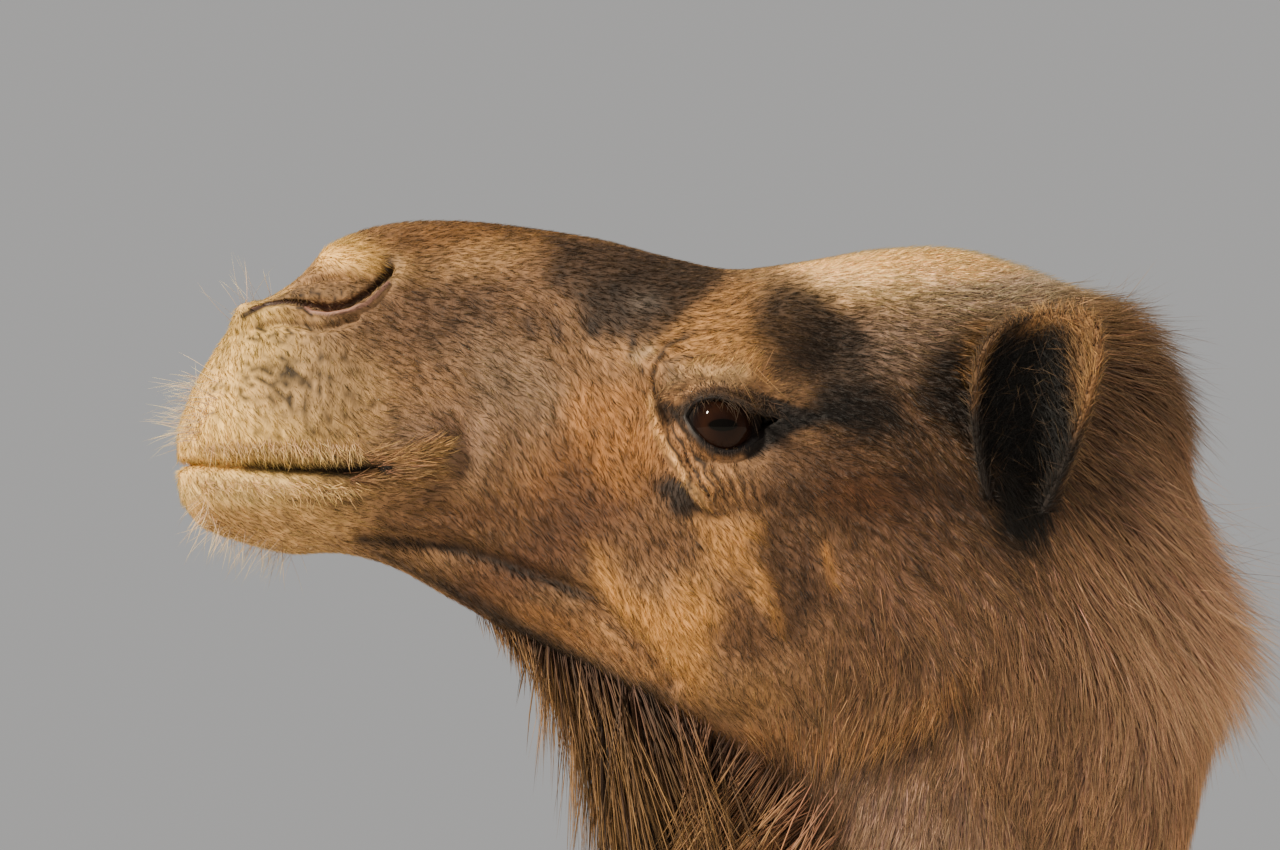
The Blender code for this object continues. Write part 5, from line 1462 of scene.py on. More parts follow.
def hair_finish():
    """Hair: the markings, with fine streaks."""
    finish = Finish("hair", 0.62, Specular_IOR_Level=0.22, Sheen_Weight=0.04, Sheen_Roughness=0.5)
    colour = finish.node("ShaderNodeAttribute", {"attribute_name": "coat"})
    streak = finish.noise(260, detail=2)
    finish.feeds("Base Color", finish.scaled(colour, streak * 0.5 + 0.75))
    return finish.material


def skin_finish():
    """Skin under the coat: the markings, broken into fine hair by streaks down the body."""
    finish = Finish("skin", 0.7, Specular_IOR_Level=0.3)
    colour = finish.node("ShaderNodeAttribute", {"attribute_name": "coat"})
    bare = finish.node("ShaderNodeAttribute", {"attribute_name": "bare"}, output=2)
    streak = finish.noise(520, (1, 0.5, 0.16), 4, 0.7, (math.radians(35), 0, 0))
    clumps = finish.noise(90, (1, 0.6, 0.3), 3, 0.6, (math.radians(35), 0, 0))
    pores = finish.noise(900, detail=2)
    shade = (streak * 0.9 + 0.5) * (clumps * 0.5 + 0.72)
    plain = 1 - bare
    finish.feeds("Base Color", finish.scaled(colour, shade * plain * 0.92 + bare * (pores * 0.3 + 0.85)))
    finish.feeds("Roughness", 0.75 - bare * 0.2)
    fine = finish.bump(streak * plain + pores * bare * 0.15, 0.0012, 0.8)
    finish.feeds("Normal", finish.bump(clumps * plain, 0.004, 0.6, fine))
    return finish.material


def eye_finish(brown):
    """The eyeball: an iris with a level pupil, under a clear wet front."""
    finish = Finish("wet eye", 0.05, Coat_Weight=0.04, Coat_Roughness=0.03, Specular_IOR_Level=0.08)
    middle = (0, EYE[1], EYE[2])
    moved = finish.node("ShaderNodeVectorMath", {"operation": "SUBTRACT"}, {0: finish.place(), 1: middle})
    y, z = (finish.node("ShaderNodeSeparateXYZ", values={0: moved}, output=axis) for axis in (1, 2))
    away = (y * y + z * z) ** 0.5
    pupil = ((y * 0.62) ** 2 + z * z * 2.2) ** 0.5
    finish.feeds("Roughness", finish.node("ShaderNodeMapRange", values={
        "Value": away, "From Min": 0.0135, "From Max": 0.0165, "To Min": 0.05, "To Max": 0.7}))
    iris = finish.ramp(
        away * 58 + finish.noise(700) * 0.12 - 0.06,
        (0.0, (0.004, 0.002, 0.002)), (0.55, brown), (0.82, (0.007, 0.003, 0.002)),
        (0.92, (0.003, 0.002, 0.002)), (1.0, (0.01, 0.007, 0.006)),
    )
    white, black = (1, 1, 1), (0, 0, 0)
    hole = finish.ramp(pupil * 110, (0.0, white), (0.46, white), (0.56, black), (1.0, black))
    finish.feeds("Base Color", finish.mixed(hole, iris, (0.002, 0.0015, 0.001)))
    return finish.material


def horn_finish(brown):
    """The nails' horn, lined lengthwise."""
    finish = Finish("horn", 0.42, Specular_IOR_Level=0.4)
    lines = finish.noise(60, (0.3, 0.3, 3.5), 4)
    finish.feeds("Base Color", finish.ramp(
        lines, (0.25, (0.045, 0.032, 0.024)), (0.55, brown), (0.8, (0.24, 0.18, 0.13))))
    finish.feeds("Normal", finish.bump(lines, 0.002, 0.7))
    return finish.material


def callus_finish():
    """The chest pad's cracked hard skin."""
    finish = Finish("callus", 0.8, Specular_IOR_Level=0.2)
    cracked = finish.node(
        "ShaderNodeTexVoronoi", {"feature": "DISTANCE_TO_EDGE"}, {"Vector": finish.place(), "Scale": 70})
    grain = finish.noise(240, detail=4)
    finish.feeds("Base Color", finish.mixed(grain, (0.1, 0.07, 0.05), (0.24, 0.18, 0.13)))
    finish.feeds("Normal", finish.bump(cracked ** 0.4 + grain * 0.3, 0.004, 0.9))
    return finish.material


def floor_finish(pale):
    """The plain floor, faintly mottled."""
    finish = Finish("floor", 0.85, Specular_IOR_Level=0.2)
    grain = finish.noise(14, detail=4)
    finish.feeds("Base Color", finish.mixed(grain, pale, np.array(pale) + 0.06))
    return finish.material


# ---------------------------------------------------------------- the pieces
def settled(piece, finish, slot, *nodes, smooth=False):
    """Gives a piece its finish and its place in the model."""
    piece.data.materials.clear()
    piece.data.materials.append(finish)
    if smooth:
        piece.data.shade_smooth()
    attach(piece, "root")
    if nodes:
        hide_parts(*nodes)


def finish_of(name, make, *values):
    """A finish, made the first time that a piece asks for it."""
    if name not in kept:
        kept[name] = make(*values)
    return kept[name]


def grown(piece, slot="coat", *nodes):
    """Gives a piece of the coat its finish and its place in the model."""
    settled(piece, finish_of("hair", hair_finish), slot, *nodes)


def how_many(number):
    """How many tufts to grow, as a whole number."""
    return round(number * (1))


def ear_place(points, side):
    """Where points of an ear lie: along it from 0 to 1, round its curl from -1 to 1, and from its axis."""
    local = in_ear(points, side)
    along = np.clip(local[:, 2] / (EAR_LENGTH + EAR_SHEAR * local[:, 1]), 0, 1)
    past = np.interp(along, EAR_ALONG, EAR_RADIUS) - (local[:, 0] + EAR_BEND * along**2) / 0.6
    to_axis = np.stack([past, -local[:, 1], 0 * past], 1)
    return along, np.arctan2(local[:, 1], past) / np.radians(np.interp(along, EAR_ALONG, EAR_ANGLE)), to_axis


def ear_look(points, normals, side):
    """The colour of an ear with its painted light and shade, whether each place is inside it, and how near it
    is to the rim.
    """
    along, curl, to_axis = ear_place(points, side)
    inner = ((normals * (side, 1, 1)) @ EAR_TURN * to_axis).sum(1) > 0
    rim = np.maximum(eased((np.abs(curl) - 0.78) / 0.2), eased((along - 0.86) / 0.12))
    rear = eased((curl - 0.05 - 0.5 * (1 - along)) / 0.35)
    top = eased((along - 0.84) / 0.14) * eased((curl + 0.7) / 0.4)
    front = 0.4 * eased((-curl - 0.72) / 0.2) * eased((along - 0.45) / 0.2)
    lit = np.maximum(np.maximum(rear * eased((along - 0.35) / 0.35), top), front)
    outside = over(tone(112, 84, 62), eased((-curl - 0.2) / 0.4), tone(56, 40, 30))
    # near-black inside: the ear's dark hair, deepened with painted shade in its hollow; lit is painted light
    # on the rear wall, the top and the front rim
    colour = np.where(inner[:, None], over(tone(7, 5, 5), lit, tone(116, 83, 50)), outside)
    colour = over(colour, rim, over(tone(26, 18, 13), lit, tone(132, 94, 58)))
    return over(colour, 0.8 * eased((0.22 - along) / 0.22), tone(26, 18, 14)), inner, rim


def bare_skin(points):
    """How bare the skin is at the rims of the eyes and nostrils, and how far it is past the lids' rim."""
    x, y, z = from_eye(points)
    bare = np.zeros(len(points))
    for line in (BARE_RIM, BARE_SLIT):
        bare = np.maximum(bare, eased(1.6 - from_line(y, z, line)) * (y < -160))
    ring = np.hypot(y - 4, z - 0.5) - eye_outline(np.arctan2(z - 0.5, y - 4))
    near_eye = (x > 40) & (np.hypot(y, z) < 45)
    return np.maximum(bare, eased((3.0 - ring) / 2.0) * near_eye), np.where(near_eye, ring, 99.0)


def make_skin_piece(props):
    """The skin as a piece, painted and unwrapped. The coat is rooted on it, so it comes first."""
    mesh = make_skin(props)
    kept["ground"] = np.array(props.ground)
    kept["surface"] = surface = Surface(mesh)
    points, normals = points_of(mesh), normals_of(mesh)
    bare, past_rim = bare_skin(points)
    _, y, z = from_eye(points)
    nostril = y < -160
    colour = over(coat_colour(points), bare * nostril * (z > 40), tone(136, 98, 82))
    # painted shade in the nostril's slit
    colour = over(colour, 0.9 * eased(1.5 - from_line(y, z, NOSTRIL_SLIT) / 1.4) * nostril, tone(40, 26, 20))
    colour = over(colour, eased((4.5 - past_rim) / 3.5), tone(18, 12, 10))
    for number, side in enumerate((1, -1)):
        ear = np.unique(surface.corners[surface.part == EAR_PART + number])
        colour[ear] = ear_look(points[ear], normals[ear], side)[0]
    paint(mesh, colour, bare)
    add_map(mesh, surface.map)
    mesh.attributes.remove(mesh.attributes["part"])
    settled(linked("skin", mesh), skin_finish(), "coat", *FLESH, smooth=True)


def make_eyes(props):
    """Both eyeballs, their clear fronts standing a little proud."""
    for name, side in (("eye_left", 1), ("eye_right", -1)):
        mesh_data = bmesh.new()
        bmesh.ops.create_uvsphere(mesh_data, u_segments=64, v_segments=40, radius=1)
        bmesh.ops.rotate(mesh_data, verts=mesh_data.verts, matrix=Matrix.Rotation(math.pi / 2, 3, "Y"))
        mesh = mesh_from(name, mesh_data)
        points = points_of(mesh)
        front = eased((points[:, 0] * side - 0.62) / 0.38)
        points = points * (EYE_RADIUS - EYE_CLEAR)
        points[:, 0] += side * EYE_FRONT * front
        set_points(mesh, points + (side * EYE[0], EYE[1], EYE[2]))
        finish = finish_of("eye", eye_finish, props.iris)
        settled(linked(name + "_ball", mesh), finish, "eye", name, smooth=True)


def make_face_coat(props):
    """Short hair over the head, in three pieces, finest round the mouth and the eyes."""
    surface = kept["surface"]
    _, y, z = from_eye(surface.middle)
    bare, past_rim = bare_skin(surface.middle)
    grows = np.isin(surface.part, (NECK_PART, LID_PART, LID_PART + 1)) & (past_rim > 0.5)
    density = np.where(grows, 1.0, 0.0) * (1 - 0.9 * np.clip(bare, 0, 1))
    density *= eased((z + 285) / 90)
    density *= 1 - 0.75 * eased((y - 190) / 60)
    density *= np.where(z < -150, 0.6, 1.0)
    count = how_many(props.face_tufts)
    locks = Locks(surface, density, round(count * 0.8), 90, 0.24)
    for number in range(3):
        roots = surface.roots(density, count, 100 + number)
        roots.points = roots.points + roots.normals * hair_relief(roots.points)[:, None]
        _, y, z = from_eye(roots.points)
        back = eased((y - 20) / 140)
        eye_near = oval(y, z, 4, 0, 34, 26)
        lip = np.exp(-((z + 14) ** 2) / 20 - ((y + 226) / 44) ** 4)
        flap, rough = oval(y, z, -205, 68, 26, 8, 4), oval(y, z, -220, 24, 40, 34)
        longer = 5.0 * back - 2.4 * eye_near + 2.6 * lip - 3.4 * flap - 2.4 * rough - 1.4 * near_tear(y, z)
        length = props.face_hair + longer * MM
        width = (0.44 + 0.2 * back - 0.06 * eye_near) * MM
        crown = eased((roots.normals[:, 2] - 0.4) / 0.4) * eased((y - 120) / 40)
        lift = 0.27 + 0.12 * oval(y, z, -245, -10, 50, 60) + 0.1 * back + 0.2 * crown
        # brighter roots on the top of the head and the forehead: painted light where the light falls on the
        # top
        top = eased((z - 66) / 12) * eased((y - 10) / 40)
        grown(tufts(f"coat_head_{number + 1}", roots, length, width, lift, root_shade=0.3 + 0.65 * top,
                    tip_shade=1.62, locks=locks, pull=0.5, own_shade=0.42))


def make_neck_coat(props):
    """Longer hair over the back of the head and the upper neck, down to the bend."""
    surface = kept["surface"]
    _, y, z = from_eye(surface.middle)
    grows = (surface.part == NECK_PART) | ((surface.part == TRUNK_PART) & (y < 420))
    poll = eased((y - 160) / 40) * eased(z / 30)
    place = np.maximum(eased((y - 0.9 * z - 130) / 110), poll)
    density = np.where(grows, place, 0.0) * (0.3 + 0.7 * eased((z + 460) / 160)) * eased((430 - y) / 170)
    locks = Locks(surface, density, props.neck_tufts // 4, 190, 0.16, 0.12)
    for number in range(2):
        roots = surface.roots(density, how_many(props.neck_tufts), 200 + number)
        _, y, z = from_eye(roots.points)
        nape = eased((roots.normals[:, 1] - 0.05) / 0.6) * eased((z + 200) / 120)
        poll = eased((y - 165) / 40) * eased((z - 5) / 30) * eased(roots.normals[:, 1] + roots.normals[:, 2])
        long, raised = (np.interp(z, *np.array(NAPE_HAIR)[:, [0, column]].T) for column in (1, 2))
        back = np.maximum(nape, poll)
        wild = back * (roots.chance.random(len(roots)) < 0.07)
        side = props.neck_hair + 5 * MM * eased((-z - 60) / 120) * (1 - back)
        length = (side + (long * MM - props.neck_hair) * back) * (1 + 0.5 * wild)
        lift = 0.2 + (raised - 0.2) * back + 0.45 * wild
        grown(tufts(f"coat_neck_{number + 1}", roots, length, (0.64 - 0.08 * back) * MM, lift, fall=0.08,
                    root_shade=0.42, tip_shade=1.5, locks=locks, pull=0.4, own_shade=0.32))


def make_mane(props):
    """The long dark hair under the jaw and down the throat."""
    surface = kept["surface"]
    x, y, z = from_eye(surface.middle)
    root_line = np.interp(y, *np.array(MANE_LINE).T)
    grows = (surface.part == NECK_PART) & (surface.face[:, 2] < 0.15) & (y > -126)
    wide = 56 + 34 * eased((y + 20) / 60)
    soft = 12 + 34 * eased((y - 6) / 60)
    density = np.where(grows, eased((root_line - z) / soft) * np.exp(-((x / wide) ** 4)), 0.0)
    density *= (0.25 + 0.75 * eased((z + 520) / 200)) * (1 + 3.6 * eased((-y - 30) / 40))
    density *= 1 - eased((y - 34) / 40)
    locks = Locks(surface, density, props.mane_locks // 13, 290, 0.45, 0.2)
    roots = surface.roots(density, how_many(props.mane_locks), 300)
    x, y, z = from_eye(roots.points)
    length = (9 + 72 * eased((y + 118) / 66)) * (0.6 + 0.4 * eased((z + 420) / 200)) * MM
    later = eased((y + 6) / 50)
    brown = over(tone(80, 58, 40), later, tone(122, 86, 54))
    # a few wide dark locks deep in the mane: a dark layer standing in for the shade between the strands
    inner = (np.abs(x) < 26) & (np.abs(y + 6) < 56) & (roots.chance.random(len(roots)) < 0.3)
    roots.colour = np.where(inner[:, None], tone(44, 31, 22), over(roots.colour, 0.72 - 0.1 * later, brown))
    forward = 0.14 - 1.0 * eased((y + 26) / 60) * eased((z + 300) / 100)
    forward = forward + 0.26 * ripple(roots.points, 0.018, 71)
    flow = np.stack([0 * y, forward, 0 * y - 0.9], 1)
    roots.lie = unit(roots.lie * 0.25 + flow + 0.04 * roots.chance.normal(size=(len(roots), 3)))
    # golden tips, left dark just below the jaw: painted shadow under the jaw
    golden = (0.85 - 0.25 * eased((y - 10) / 50)) * (1 - 0.8 * np.exp(-(((y + 36) / 15) ** 2))) * ~inner
    width = (0.7 + 0.2 * eased((10 - y) / 40) + 1.6 * inner) * MM
    grown(tufts("mane_throat", roots, length, width, 0.16, fall=0.16, joints=2,
                root_shade=0.6 + 0.2 * eased((y - 10) / 50), tip_shade=1.5, tip_tint=((202, 152, 92), golden),
                spread=0.5, curl=0.08, locks=locks, pull=0.9, own_shade=0.42))


def make_ear_coat(props):
    """Short hair outside the ears, long dark hair in them and a fringe on their rims."""
    surface = kept["surface"]
    for number, (name, side) in enumerate((("left", 1), ("right", -1))):
        density = np.where(surface.part == EAR_PART + number, 1.0, 0.0)
        roots = surface.roots(density, props.ear_tufts, 600 + number)
        colour, inner, rim = ear_look(roots.points, roots.normals, side)
        _, curl, _ = ear_place(roots.points, side)
        outward, tip = EAR_TURN[:, 1] * (side, 1, 1), EAR_TURN[:, 2] * (side, 1, 1)
        lie = tip + ((0.45 * rim - 0.5 * inner) * np.sign(curl))[:, None] * outward
        lie = lie + 0.5 * roots.chance.normal(size=lie.shape)
        roots.lie = unit(lie - (lie * roots.normals).sum(1, keepdims=True) * roots.normals)
        wisp = inner & (roots.chance.random(len(roots)) < 0.07)
        mottled = colour * (1 + 0.2 * ripple(roots.points, 0.008, 61))[:, None]
        roots.colour = np.where(wisp[:, None], tone(74, 56, 42), mottled)
        length = np.where(inner, 12 + 8 * wisp, 9) * MM
        lift = 0.25 + 0.25 * inner + 0.3 * wisp
        grown(tufts(f"coat_ear_{name}", roots, length, (0.55 - 0.25 * wisp) * MM, lift,
                    root_shade=0.5, tip_shade=1.4, spread=0.4, own_shade=0.4))


def strung(line, count, chance):
    """Places scattered along a line of points on the side of the head, y and z from the eye."""
    line = np.array(line, float)
    steps = np.concatenate([[0], np.cumsum(np.hypot(*np.diff(line, axis=0).T))])
    at = np.sort(chance.uniform(0, steps[-1], count))
    return np.stack([np.interp(at, steps, line[:, 0]), np.interp(at, steps, line[:, 1])], 1)


def rooted(surface, places, side, chance):
    """Roots on the skin nearest to places on one side of the head."""
    ahead = (surface.middle[:, 1] < EYE[1] + 0.12) & (surface.middle[:, 2] > EYE[2] - 0.3)
    outer = (surface.middle[:, 0] * side > 0.004) & (surface.face[:, 0] * side > -0.3)
    chosen = np.flatnonzero(ahead & outer & (surface.part != EAR_PART))
    _, y, z = from_eye(surface.middle[chosen])
    found = []
    for at in places:
        away = (y - at[0]) ** 2 + (z - at[1]) ** 2
        near = chosen[away < away.min() + 2.0]
        found.append(near[np.argmax(np.abs(surface.middle[near, 0]))])
    return Roots(surface.middle[found], surface.face[found], surface.map[found].mean(1), chance)


# The hair of the nape by height from the eye: how long it is, and how far it is raised, in radians.
NAPE_HAIR = (
    (-200, 26, 0.3), (-148, 36, 0.42), (-112, 58, 0.68), (-78, 60, 0.72), (-38, 46, 0.72), (-4, 22, 0.22),
    (25, 34, 0.5), (70, 38, 0.85),
)
# The line below which the throat's long hair grows, y and z in millimetres from the eye.
MANE_LINE = ((-126, -96), (-64, -122), (-14, -143), (11, -158), (44, -170), (100, -182))
# Long single hairs: where their roots lie, how many on each side, length and width in millimetres,
# which way they point (out, back, up), how far that wanders, how far they droop, and their colour.
LONG_HAIRS = (
    ("upper lashes", ((-3, 14.2), (5, 13.0), (12, 10.0), (20, 6.4), (27, 4.5)), 90, 15, 0.26,
        (0.9, 0.4, 0.0), 0.22, 0.4, (60, 44, 31)),
    ("front lashes", ((-17, 8.5), (-10, 13.6), (-3, 14.2)), 26, 9, 0.24, (1.0, -0.3, 0.1), 0.22, 0.3,
        (60, 44, 31)),
    ("lid hairs", ((-20, 14), (-9, 19.5), (2, 20), (13, 16.5), (24, 11)), 300, 7, 0.28, (0.5, 0.2, -0.5),
        0.4, 0.15, (84, 62, 42)),
    ("lower lashes", ((-12, -7), (-4, -12.5), (4, -13.2), (12, -10)), 60, 5, 0.2, (0.8, 0.1, -0.6), 0.3,
        0.3, (60, 44, 32)),
    ("brow bristles", ((-6, 30), (8, 30), (20, 26)), 14, 24, 0.22, (0.6, 0.3, 0.1), 0.4, 0.3,
        (170, 130, 84)),
    ("muzzle whiskers", ((-268, 26), (-272, 10), (-274, -6), (-262, 8), (-256, 24)), 95, 24, 0.22,
        (0.25, -1.0, 0.15), 0.5, 0.15, (232, 205, 165)),
    ("nose whiskers", ((-252, 54), (-238, 74)), 9, 24, 0.22, (0.2, -0.5, 0.9), 0.35, 0.05, (228, 200, 160)),
    ("lip fringe", ((-274, -10), (-250, -10), (-220, -11), (-186, -12)), 620, 7.5, 0.28, (0.15, 0.35, -1.0),
        0.35, 0.1, (226, 186, 128)),
    ("lower lip fringe", ((-272, -30), (-250, -31), (-220, -33), (-190, -34)), 420, 8, 0.28,
        (0.2, 0.7, -0.5), 0.4, 0.1, (228, 186, 124)),
    ("chin whiskers", ((-268, -34), (-262, -50), (-244, -58), (-222, -66)), 90, 20, 0.24, (0.2, -0.5, -0.8),
        0.45, 0.1, (226, 194, 150)),
    ("corner tuft", ((-184, -21), (-168, -17), (-150, -13)), 520, 15, 0.4, (0.1, 1.0, 0.16), 0.1, -0.08,
        (164, 124, 80)),
    ("corner tuft low", ((-190, -28), (-172, -27), (-154, -23)), 460, 15, 0.4, (0.1, 1.0, -0.02), 0.1,
        0.0, (144, 107, 70)),
)


def make_long_hairs():
    """Lashes, whiskers, the fringe of the upper lip and the golden tuft at the mouth's corner."""
    groups = []
    for number, (name, line, count, long, wide, way, wander, droop, screen) in enumerate(LONG_HAIRS):
        for side in (1, -1):
            chance = np.random.default_rng(700 + number + 50 * (side < 0))
            places = strung(line, count, chance) + chance.normal(0, 1.9, (count, 2))
            roots = rooted(kept["surface"], places, side, chance)
            roots.points = roots.points + chance.normal(0, 0.0005, roots.points.shape)
            roots.lie = unit(np.array(way) * (side, 1, 1) + wander * chance.normal(size=(count, 3)))
            roots.colour = tone(*screen) * chance.uniform(0.7, 1.15, (count, 1))
            groups.append(tufts(name, roots, long * MM, wide * MM, 0.0, fall=droop, joints=2, root_shade=0.75,
                                tip_shade=1.15, spread=0.4, curl=0.12))
    grown(joined("long_hairs", groups))


def joined(name, things):
    """One object from several, with their maps and colours."""
    bpy.ops.object.select_all(action="DESELECT")
    for thing in things:
        thing.select_set(True)
    bpy.context.view_layer.objects.active = things[0]
    bpy.ops.object.join()
    things[0].name = name
    return things[0]


def make_body_coat(props):
    """Tufts over the trunk and the legs, longest on the shoulders and the hump."""
    surface = kept["surface"]
    height = surface.middle[:, 2]
    below = eased((-from_eye(surface.middle)[2] - 330) / 160)
    grows = (surface.part <= TAIL_PART) & (height >= 0.02)
    density = np.where(grows, below, 0.0) * (1 + 0.8 * eased((1.2 - height) / 0.3))
    for number in range(2):
        roots = surface.roots(density, how_many(props.body_tufts), 400 + number)
        at_y, at_z = roots.points[:, 1] - PLUMB_Y, roots.points[:, 2]
        leg = eased((1.15 - at_z) / 0.2)
        shaggy = np.exp(-(((at_y - 0.53) / 0.32) ** 2) - ((at_z - 2.1) / 0.16) ** 2)
        shaggy = shaggy + 0.6 * np.exp(-(((at_y + 0.05) / 0.16) ** 2) - ((at_z - 1.62) / 0.16) ** 2)
        length = (props.body_hair + (26 * shaggy - 15 * leg) * MM) * (1 - 0.45 * eased((0.14 - at_z) / 0.1))
        width = (2.6 - 1.2 * leg + 0.6 * shaggy) * MM
        grown(tufts(f"coat_body_{number + 1}", roots, length, width, 0.2 + 0.12 * shaggy,
                    root_shade=0.5, tip_shade=1.35, thick=0.3, own_shade=0.3))


def make_tail_tuft(props):
    """The long dark hair at the end of the tail."""
    surface = kept["surface"]
    height = surface.middle[:, 2]
    density = np.where((surface.part == TAIL_PART) & (height < 1.42), 1.0, 0.0)
    density *= 0.15 + eased((1.4 - height) / 0.2)
    roots = surface.roots(density, props.tail_locks, 500)
    roots.colour = roots.colour * 0.3 + 0.7 * tone(44, 30, 22)
    room = np.maximum(roots.points[:, 2] - TAIL_HAIR_END, 0.05)
    length = np.minimum(0.16, room * 0.92)
    piece = tufts("tail_hair", roots, length, 2.2 * MM, 0.1, fall=0.12, joints=2, spread=0.2, curl=0.03)
    grown(piece, "dark_hair", "tail_tuft")


def make_nails(props):
    """The two nails of each foot: blunt wedges of horn."""
    mesh_data = bmesh.new()
    for name in NAILS:
        low, high = (np.array(corner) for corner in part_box(name))
        made = bmesh.ops.create_uvsphere(mesh_data, u_segments=24, v_segments=14, radius=1)["verts"]
        half = (high - low) / 2
        bmesh.ops.scale(mesh_data, verts=made, vec=(half[0] * 0.98, NAIL_REACH, half[2] * 0.92))
        for vert in made:
            vert.co.z -= 0.35 * abs(vert.co.x) ** 2 / half[0]
            vert.co.x *= 1 - 0.18 * max(0.0, -vert.co.y / NAIL_REACH)
        middle = ((low[0] + high[0]) / 2, low[1] + NAIL_REACH + 0.002, (low[2] + high[2]) / 2)
        bmesh.ops.translate(mesh_data, verts=made, vec=middle)
    piece = linked("nails", mesh_from("nails", mesh_data))
    settled(piece, horn_finish(props.horn), "horn", *NAILS, smooth=True)


def make_chest_pad():
    """The hard pad under the breastbone, on which the animal rests."""
    low, high = (np.array(corner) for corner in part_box("chest_pad"))
    mesh = ball_mesh("chest_pad", 56, 28)
    points = points_of(mesh)
    rough = 1 + 0.03 * ripple(points, 0.5, 41) + 0.02 * ripple(points, 0.17, 42)
    half = (high - low) / 2
    half[2] = CHEST_PAD_REACH
    middle = (0, (low[1] + high[1]) / 2, low[2] + CHEST_PAD_LIFT)
    set_points(mesh, points * rough[:, None] * half * (0.98, 0.98, 0.95) + middle)
    settled(linked("chest_callus", mesh), callus_finish(), "callus", "chest_pad", smooth=True)


def make_stage(props):
    """The floor, the soft studio lights and the camera."""
    mesh_data = bmesh.new()
    bmesh.ops.create_grid(mesh_data, x_segments=1, y_segments=1, size=20)
    floor = linked("floor", mesh_from("floor", mesh_data))
    floor.data.materials.append(floor_finish(props.floor))
    scene = bpy.context.scene
    world = bpy.data.worlds.new("studio")
    world.use_nodes = True
    background = world.node_tree.nodes["Background"]
    background.inputs["Color"].default_value = (1.0, 0.985, 0.97, 1)
    background.inputs["Strength"].default_value = 0.42
    scene.world = world
    for name, toward, strength, softness, tint in LAMPS:
        light = bpy.data.lights.new(name, "SUN")
        light.energy, light.angle, light.color = strength, math.radians(softness), tint
        lamp = bpy.data.objects.new(name, light)
        lamp.rotation_mode = "QUATERNION"
        lamp.visible_glossy = name == "key"
        lamp.rotation_quaternion = Vector(toward).to_track_quat("-Z", "Y")
        scene.collection.objects.link(lamp)
    camera = bpy.data.objects.new("camera", bpy.data.cameras.new("camera"))
    distance, across = 4.2, 0.655
    camera.data.lens = camera.data.sensor_width * distance / across
    camera.data.clip_end = 200
    camera.location = (distance + 0.06, EYE[1] - 0.042, EYE[2])
    camera.rotation_euler = (math.pi / 2, 0, math.pi / 2)
    scene.collection.objects.link(camera)
    scene.camera = camera


# ---------------------------------------------------------------- the add-on
class CamelProperties(bpy.types.PropertyGroup):
    """What a user would change."""

    ground: FloatVectorProperty(
        name="Ground colour", description="The coat's colour where no marking lies", subtype="COLOR",
        default=tuple(tone(*TAN)))
    iris: FloatVectorProperty(
        name="Iris", description="The brown of the eyes", subtype="COLOR", default=(0.016, 0.006, 0.003))
    horn: FloatVectorProperty(
        name="Horn", description="The brown of the nails", subtype="COLOR", default=(0.13, 0.095, 0.07))
    floor: FloatVectorProperty(
        name="Floor", description="The floor's colour", subtype="COLOR", default=(0.6, 0.58, 0.55))
    face_hair: FloatProperty(
        name="Face hair", description="Length of the hair on the nose", default=0.006, unit="LENGTH")
    neck_hair: FloatProperty(
        name="Neck hair", description="Length of the hair on the neck's sides", default=0.017, unit="LENGTH")
    body_hair: FloatProperty(
        name="Body hair", description="Length of the hair on the ribs", default=0.03, unit="LENGTH")
    voxel: FloatProperty(
        name="Body skin step", description="Size of the body skin's squares", default=0.017, unit="LENGTH")
    head_segments: IntProperty(name="Head segments", description="Points around the head's skin", default=142)
    face_tufts: IntProperty(
        name="Face tufts", description="Tufts in each of the head's three pieces", default=48000)
    neck_tufts: IntProperty(
        name="Neck tufts", description="Tufts in each of the neck's two pieces", default=39000)
    mane_locks: IntProperty(name="Mane locks", description="Locks under the jaw and throat", default=12000)
    ear_tufts: IntProperty(name="Ear tufts", description="Tufts on each ear", default=6500)
    body_tufts: IntProperty(
        name="Body tufts", description="Tufts in each of the body's two pieces", default=34000)
    tail_locks: IntProperty(name="Tail locks", description="Locks at the tail's end", default=2400)


class CAMEL_OT_stage(bpy.types.Operator):
    """Adds the floor, the lights and the camera"""

    bl_idname = "camel.stage"
    bl_label = "Stage"

    def execute(self, context):
        make_stage(context.scene.camel)
        return {"FINISHED"}


class CAMEL_OT_skin(bpy.types.Operator):
    """Makes the one skin that stands for all the flesh"""

    bl_idname = "camel.skin"
    bl_label = "Skin"

    def execute(self, context):
        make_skin_piece(context.scene.camel)
        return {"FINISHED"}


class CAMEL_OT_eyes(bpy.types.Operator):
    """Makes both eyeballs"""

    bl_idname = "camel.eyes"
    bl_label = "Eyes"

    def execute(self, context):
        make_eyes(context.scene.camel)
        return {"FINISHED"}


class CAMEL_OT_face_coat(bpy.types.Operator):
    """Grows the short hair of the head"""

    bl_idname = "camel.face_coat"
    bl_label = "Face coat"

    def execute(self, context):
        make_face_coat(context.scene.camel)
        return {"FINISHED"}


class CAMEL_OT_neck_coat(bpy.types.Operator):
    """Grows the longer hair of the upper neck"""

    bl_idname = "camel.neck_coat"
    bl_label = "Neck coat"

    def execute(self, context):
        make_neck_coat(context.scene.camel)
        return {"FINISHED"}


class CAMEL_OT_mane(bpy.types.Operator):
    """Grows the beard and the throat's mane"""

    bl_idname = "camel.mane"
    bl_label = "Mane"

    def execute(self, context):
        make_mane(context.scene.camel)
        return {"FINISHED"}


class CAMEL_OT_ear_coat(bpy.types.Operator):
    """Grows the hair of both ears"""

    bl_idname = "camel.ear_coat"
    bl_label = "Ear coat"

    def execute(self, context):
        make_ear_coat(context.scene.camel)
        return {"FINISHED"}


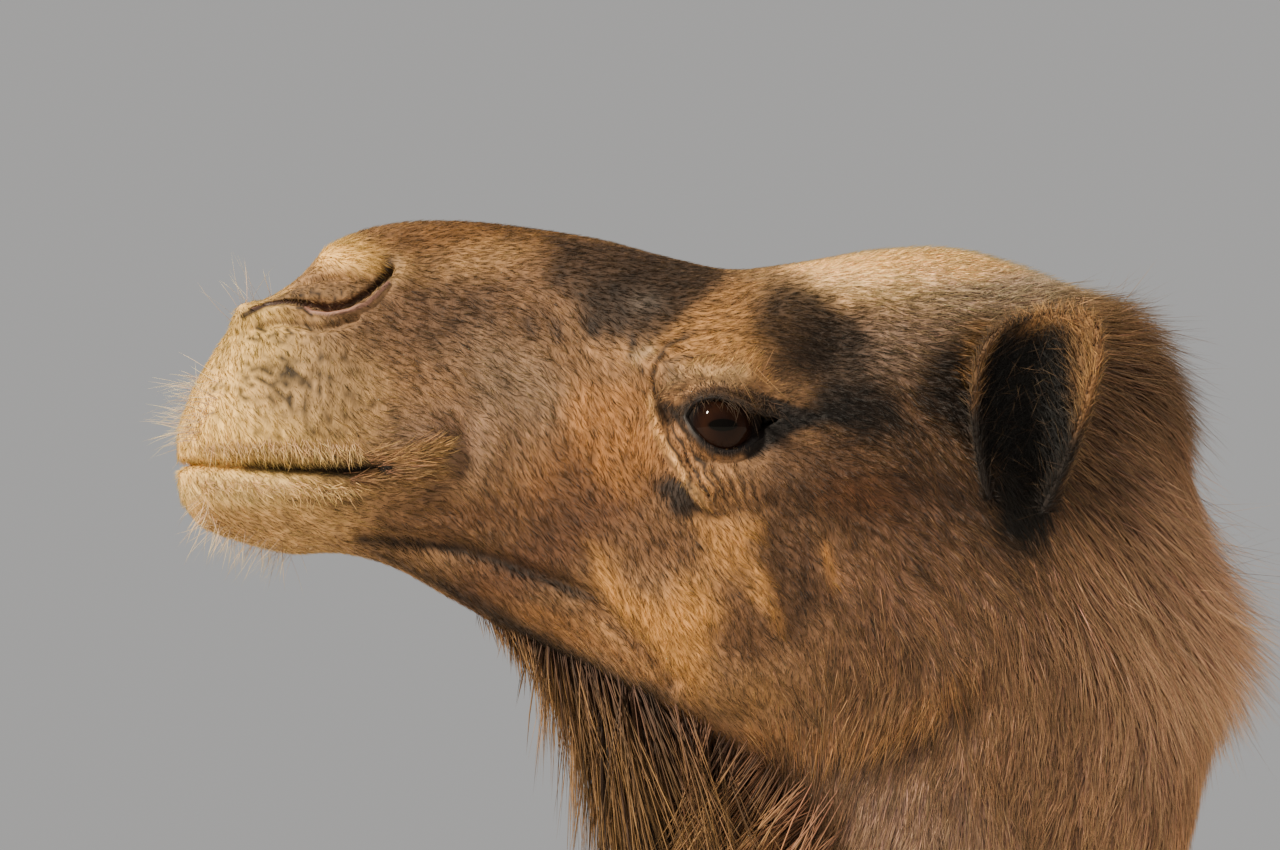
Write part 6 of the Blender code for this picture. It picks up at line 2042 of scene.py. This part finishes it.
class CAMEL_OT_long_hairs(bpy.types.Operator):
    """Grows the lashes, the whiskers and the lips' fringe"""

    bl_idname = "camel.long_hairs"
    bl_label = "Long hairs"

    def execute(self, context):
        make_long_hairs()
        return {"FINISHED"}


class CAMEL_OT_body_coat(bpy.types.Operator):
    """Grows the hair of the trunk and legs"""

    bl_idname = "camel.body_coat"
    bl_label = "Body coat"

    def execute(self, context):
        make_body_coat(context.scene.camel)
        return {"FINISHED"}


class CAMEL_OT_tail_tuft(bpy.types.Operator):
    """Grows the hair at the tail's end"""

    bl_idname = "camel.tail_tuft"
    bl_label = "Tail tuft"

    def execute(self, context):
        make_tail_tuft(context.scene.camel)
        return {"FINISHED"}


class CAMEL_OT_nails(bpy.types.Operator):
    """Makes the nails of the feet"""

    bl_idname = "camel.nails"
    bl_label = "Nails"

    def execute(self, context):
        make_nails(context.scene.camel)
        return {"FINISHED"}


class CAMEL_OT_chest_pad(bpy.types.Operator):
    """Makes the hard pad under the chest"""

    bl_idname = "camel.chest_pad"
    bl_label = "Chest pad"

    def execute(self, context):
        make_chest_pad()
        return {"FINISHED"}


STEPS = (
    CAMEL_OT_stage, CAMEL_OT_skin, CAMEL_OT_eyes, CAMEL_OT_face_coat, CAMEL_OT_neck_coat, CAMEL_OT_mane,
    CAMEL_OT_ear_coat, CAMEL_OT_long_hairs, CAMEL_OT_body_coat, CAMEL_OT_tail_tuft, CAMEL_OT_nails,
    CAMEL_OT_chest_pad,
)


class CAMEL_PT_panel(bpy.types.Panel):
    """Lists the steps."""

    bl_label = "Camel"
    bl_idname = "CAMEL_PT_panel"
    bl_space_type = "VIEW_3D"
    bl_region_type = "UI"
    bl_category = "Camel"

    def draw(self, context):
        for name in CamelProperties.__annotations__:
            self.layout.prop(context.scene.camel, name)
        for made in STEPS:
            self.layout.operator(made.bl_idname)


def register():
    for made in (CamelProperties, *STEPS, CAMEL_PT_panel):
        bpy.utils.register_class(made)
    bpy.types.Scene.camel = PointerProperty(type=CamelProperties)


def unregister():
    del bpy.types.Scene.camel
    for made in (CAMEL_PT_panel, *reversed(STEPS), CamelProperties):
        bpy.utils.unregister_class(made)


def main():
    register()
    for made in STEPS:
        getattr(bpy.ops.camel, made.bl_idname.split(".")[1])()


if __name__ == "__main__":
    main()
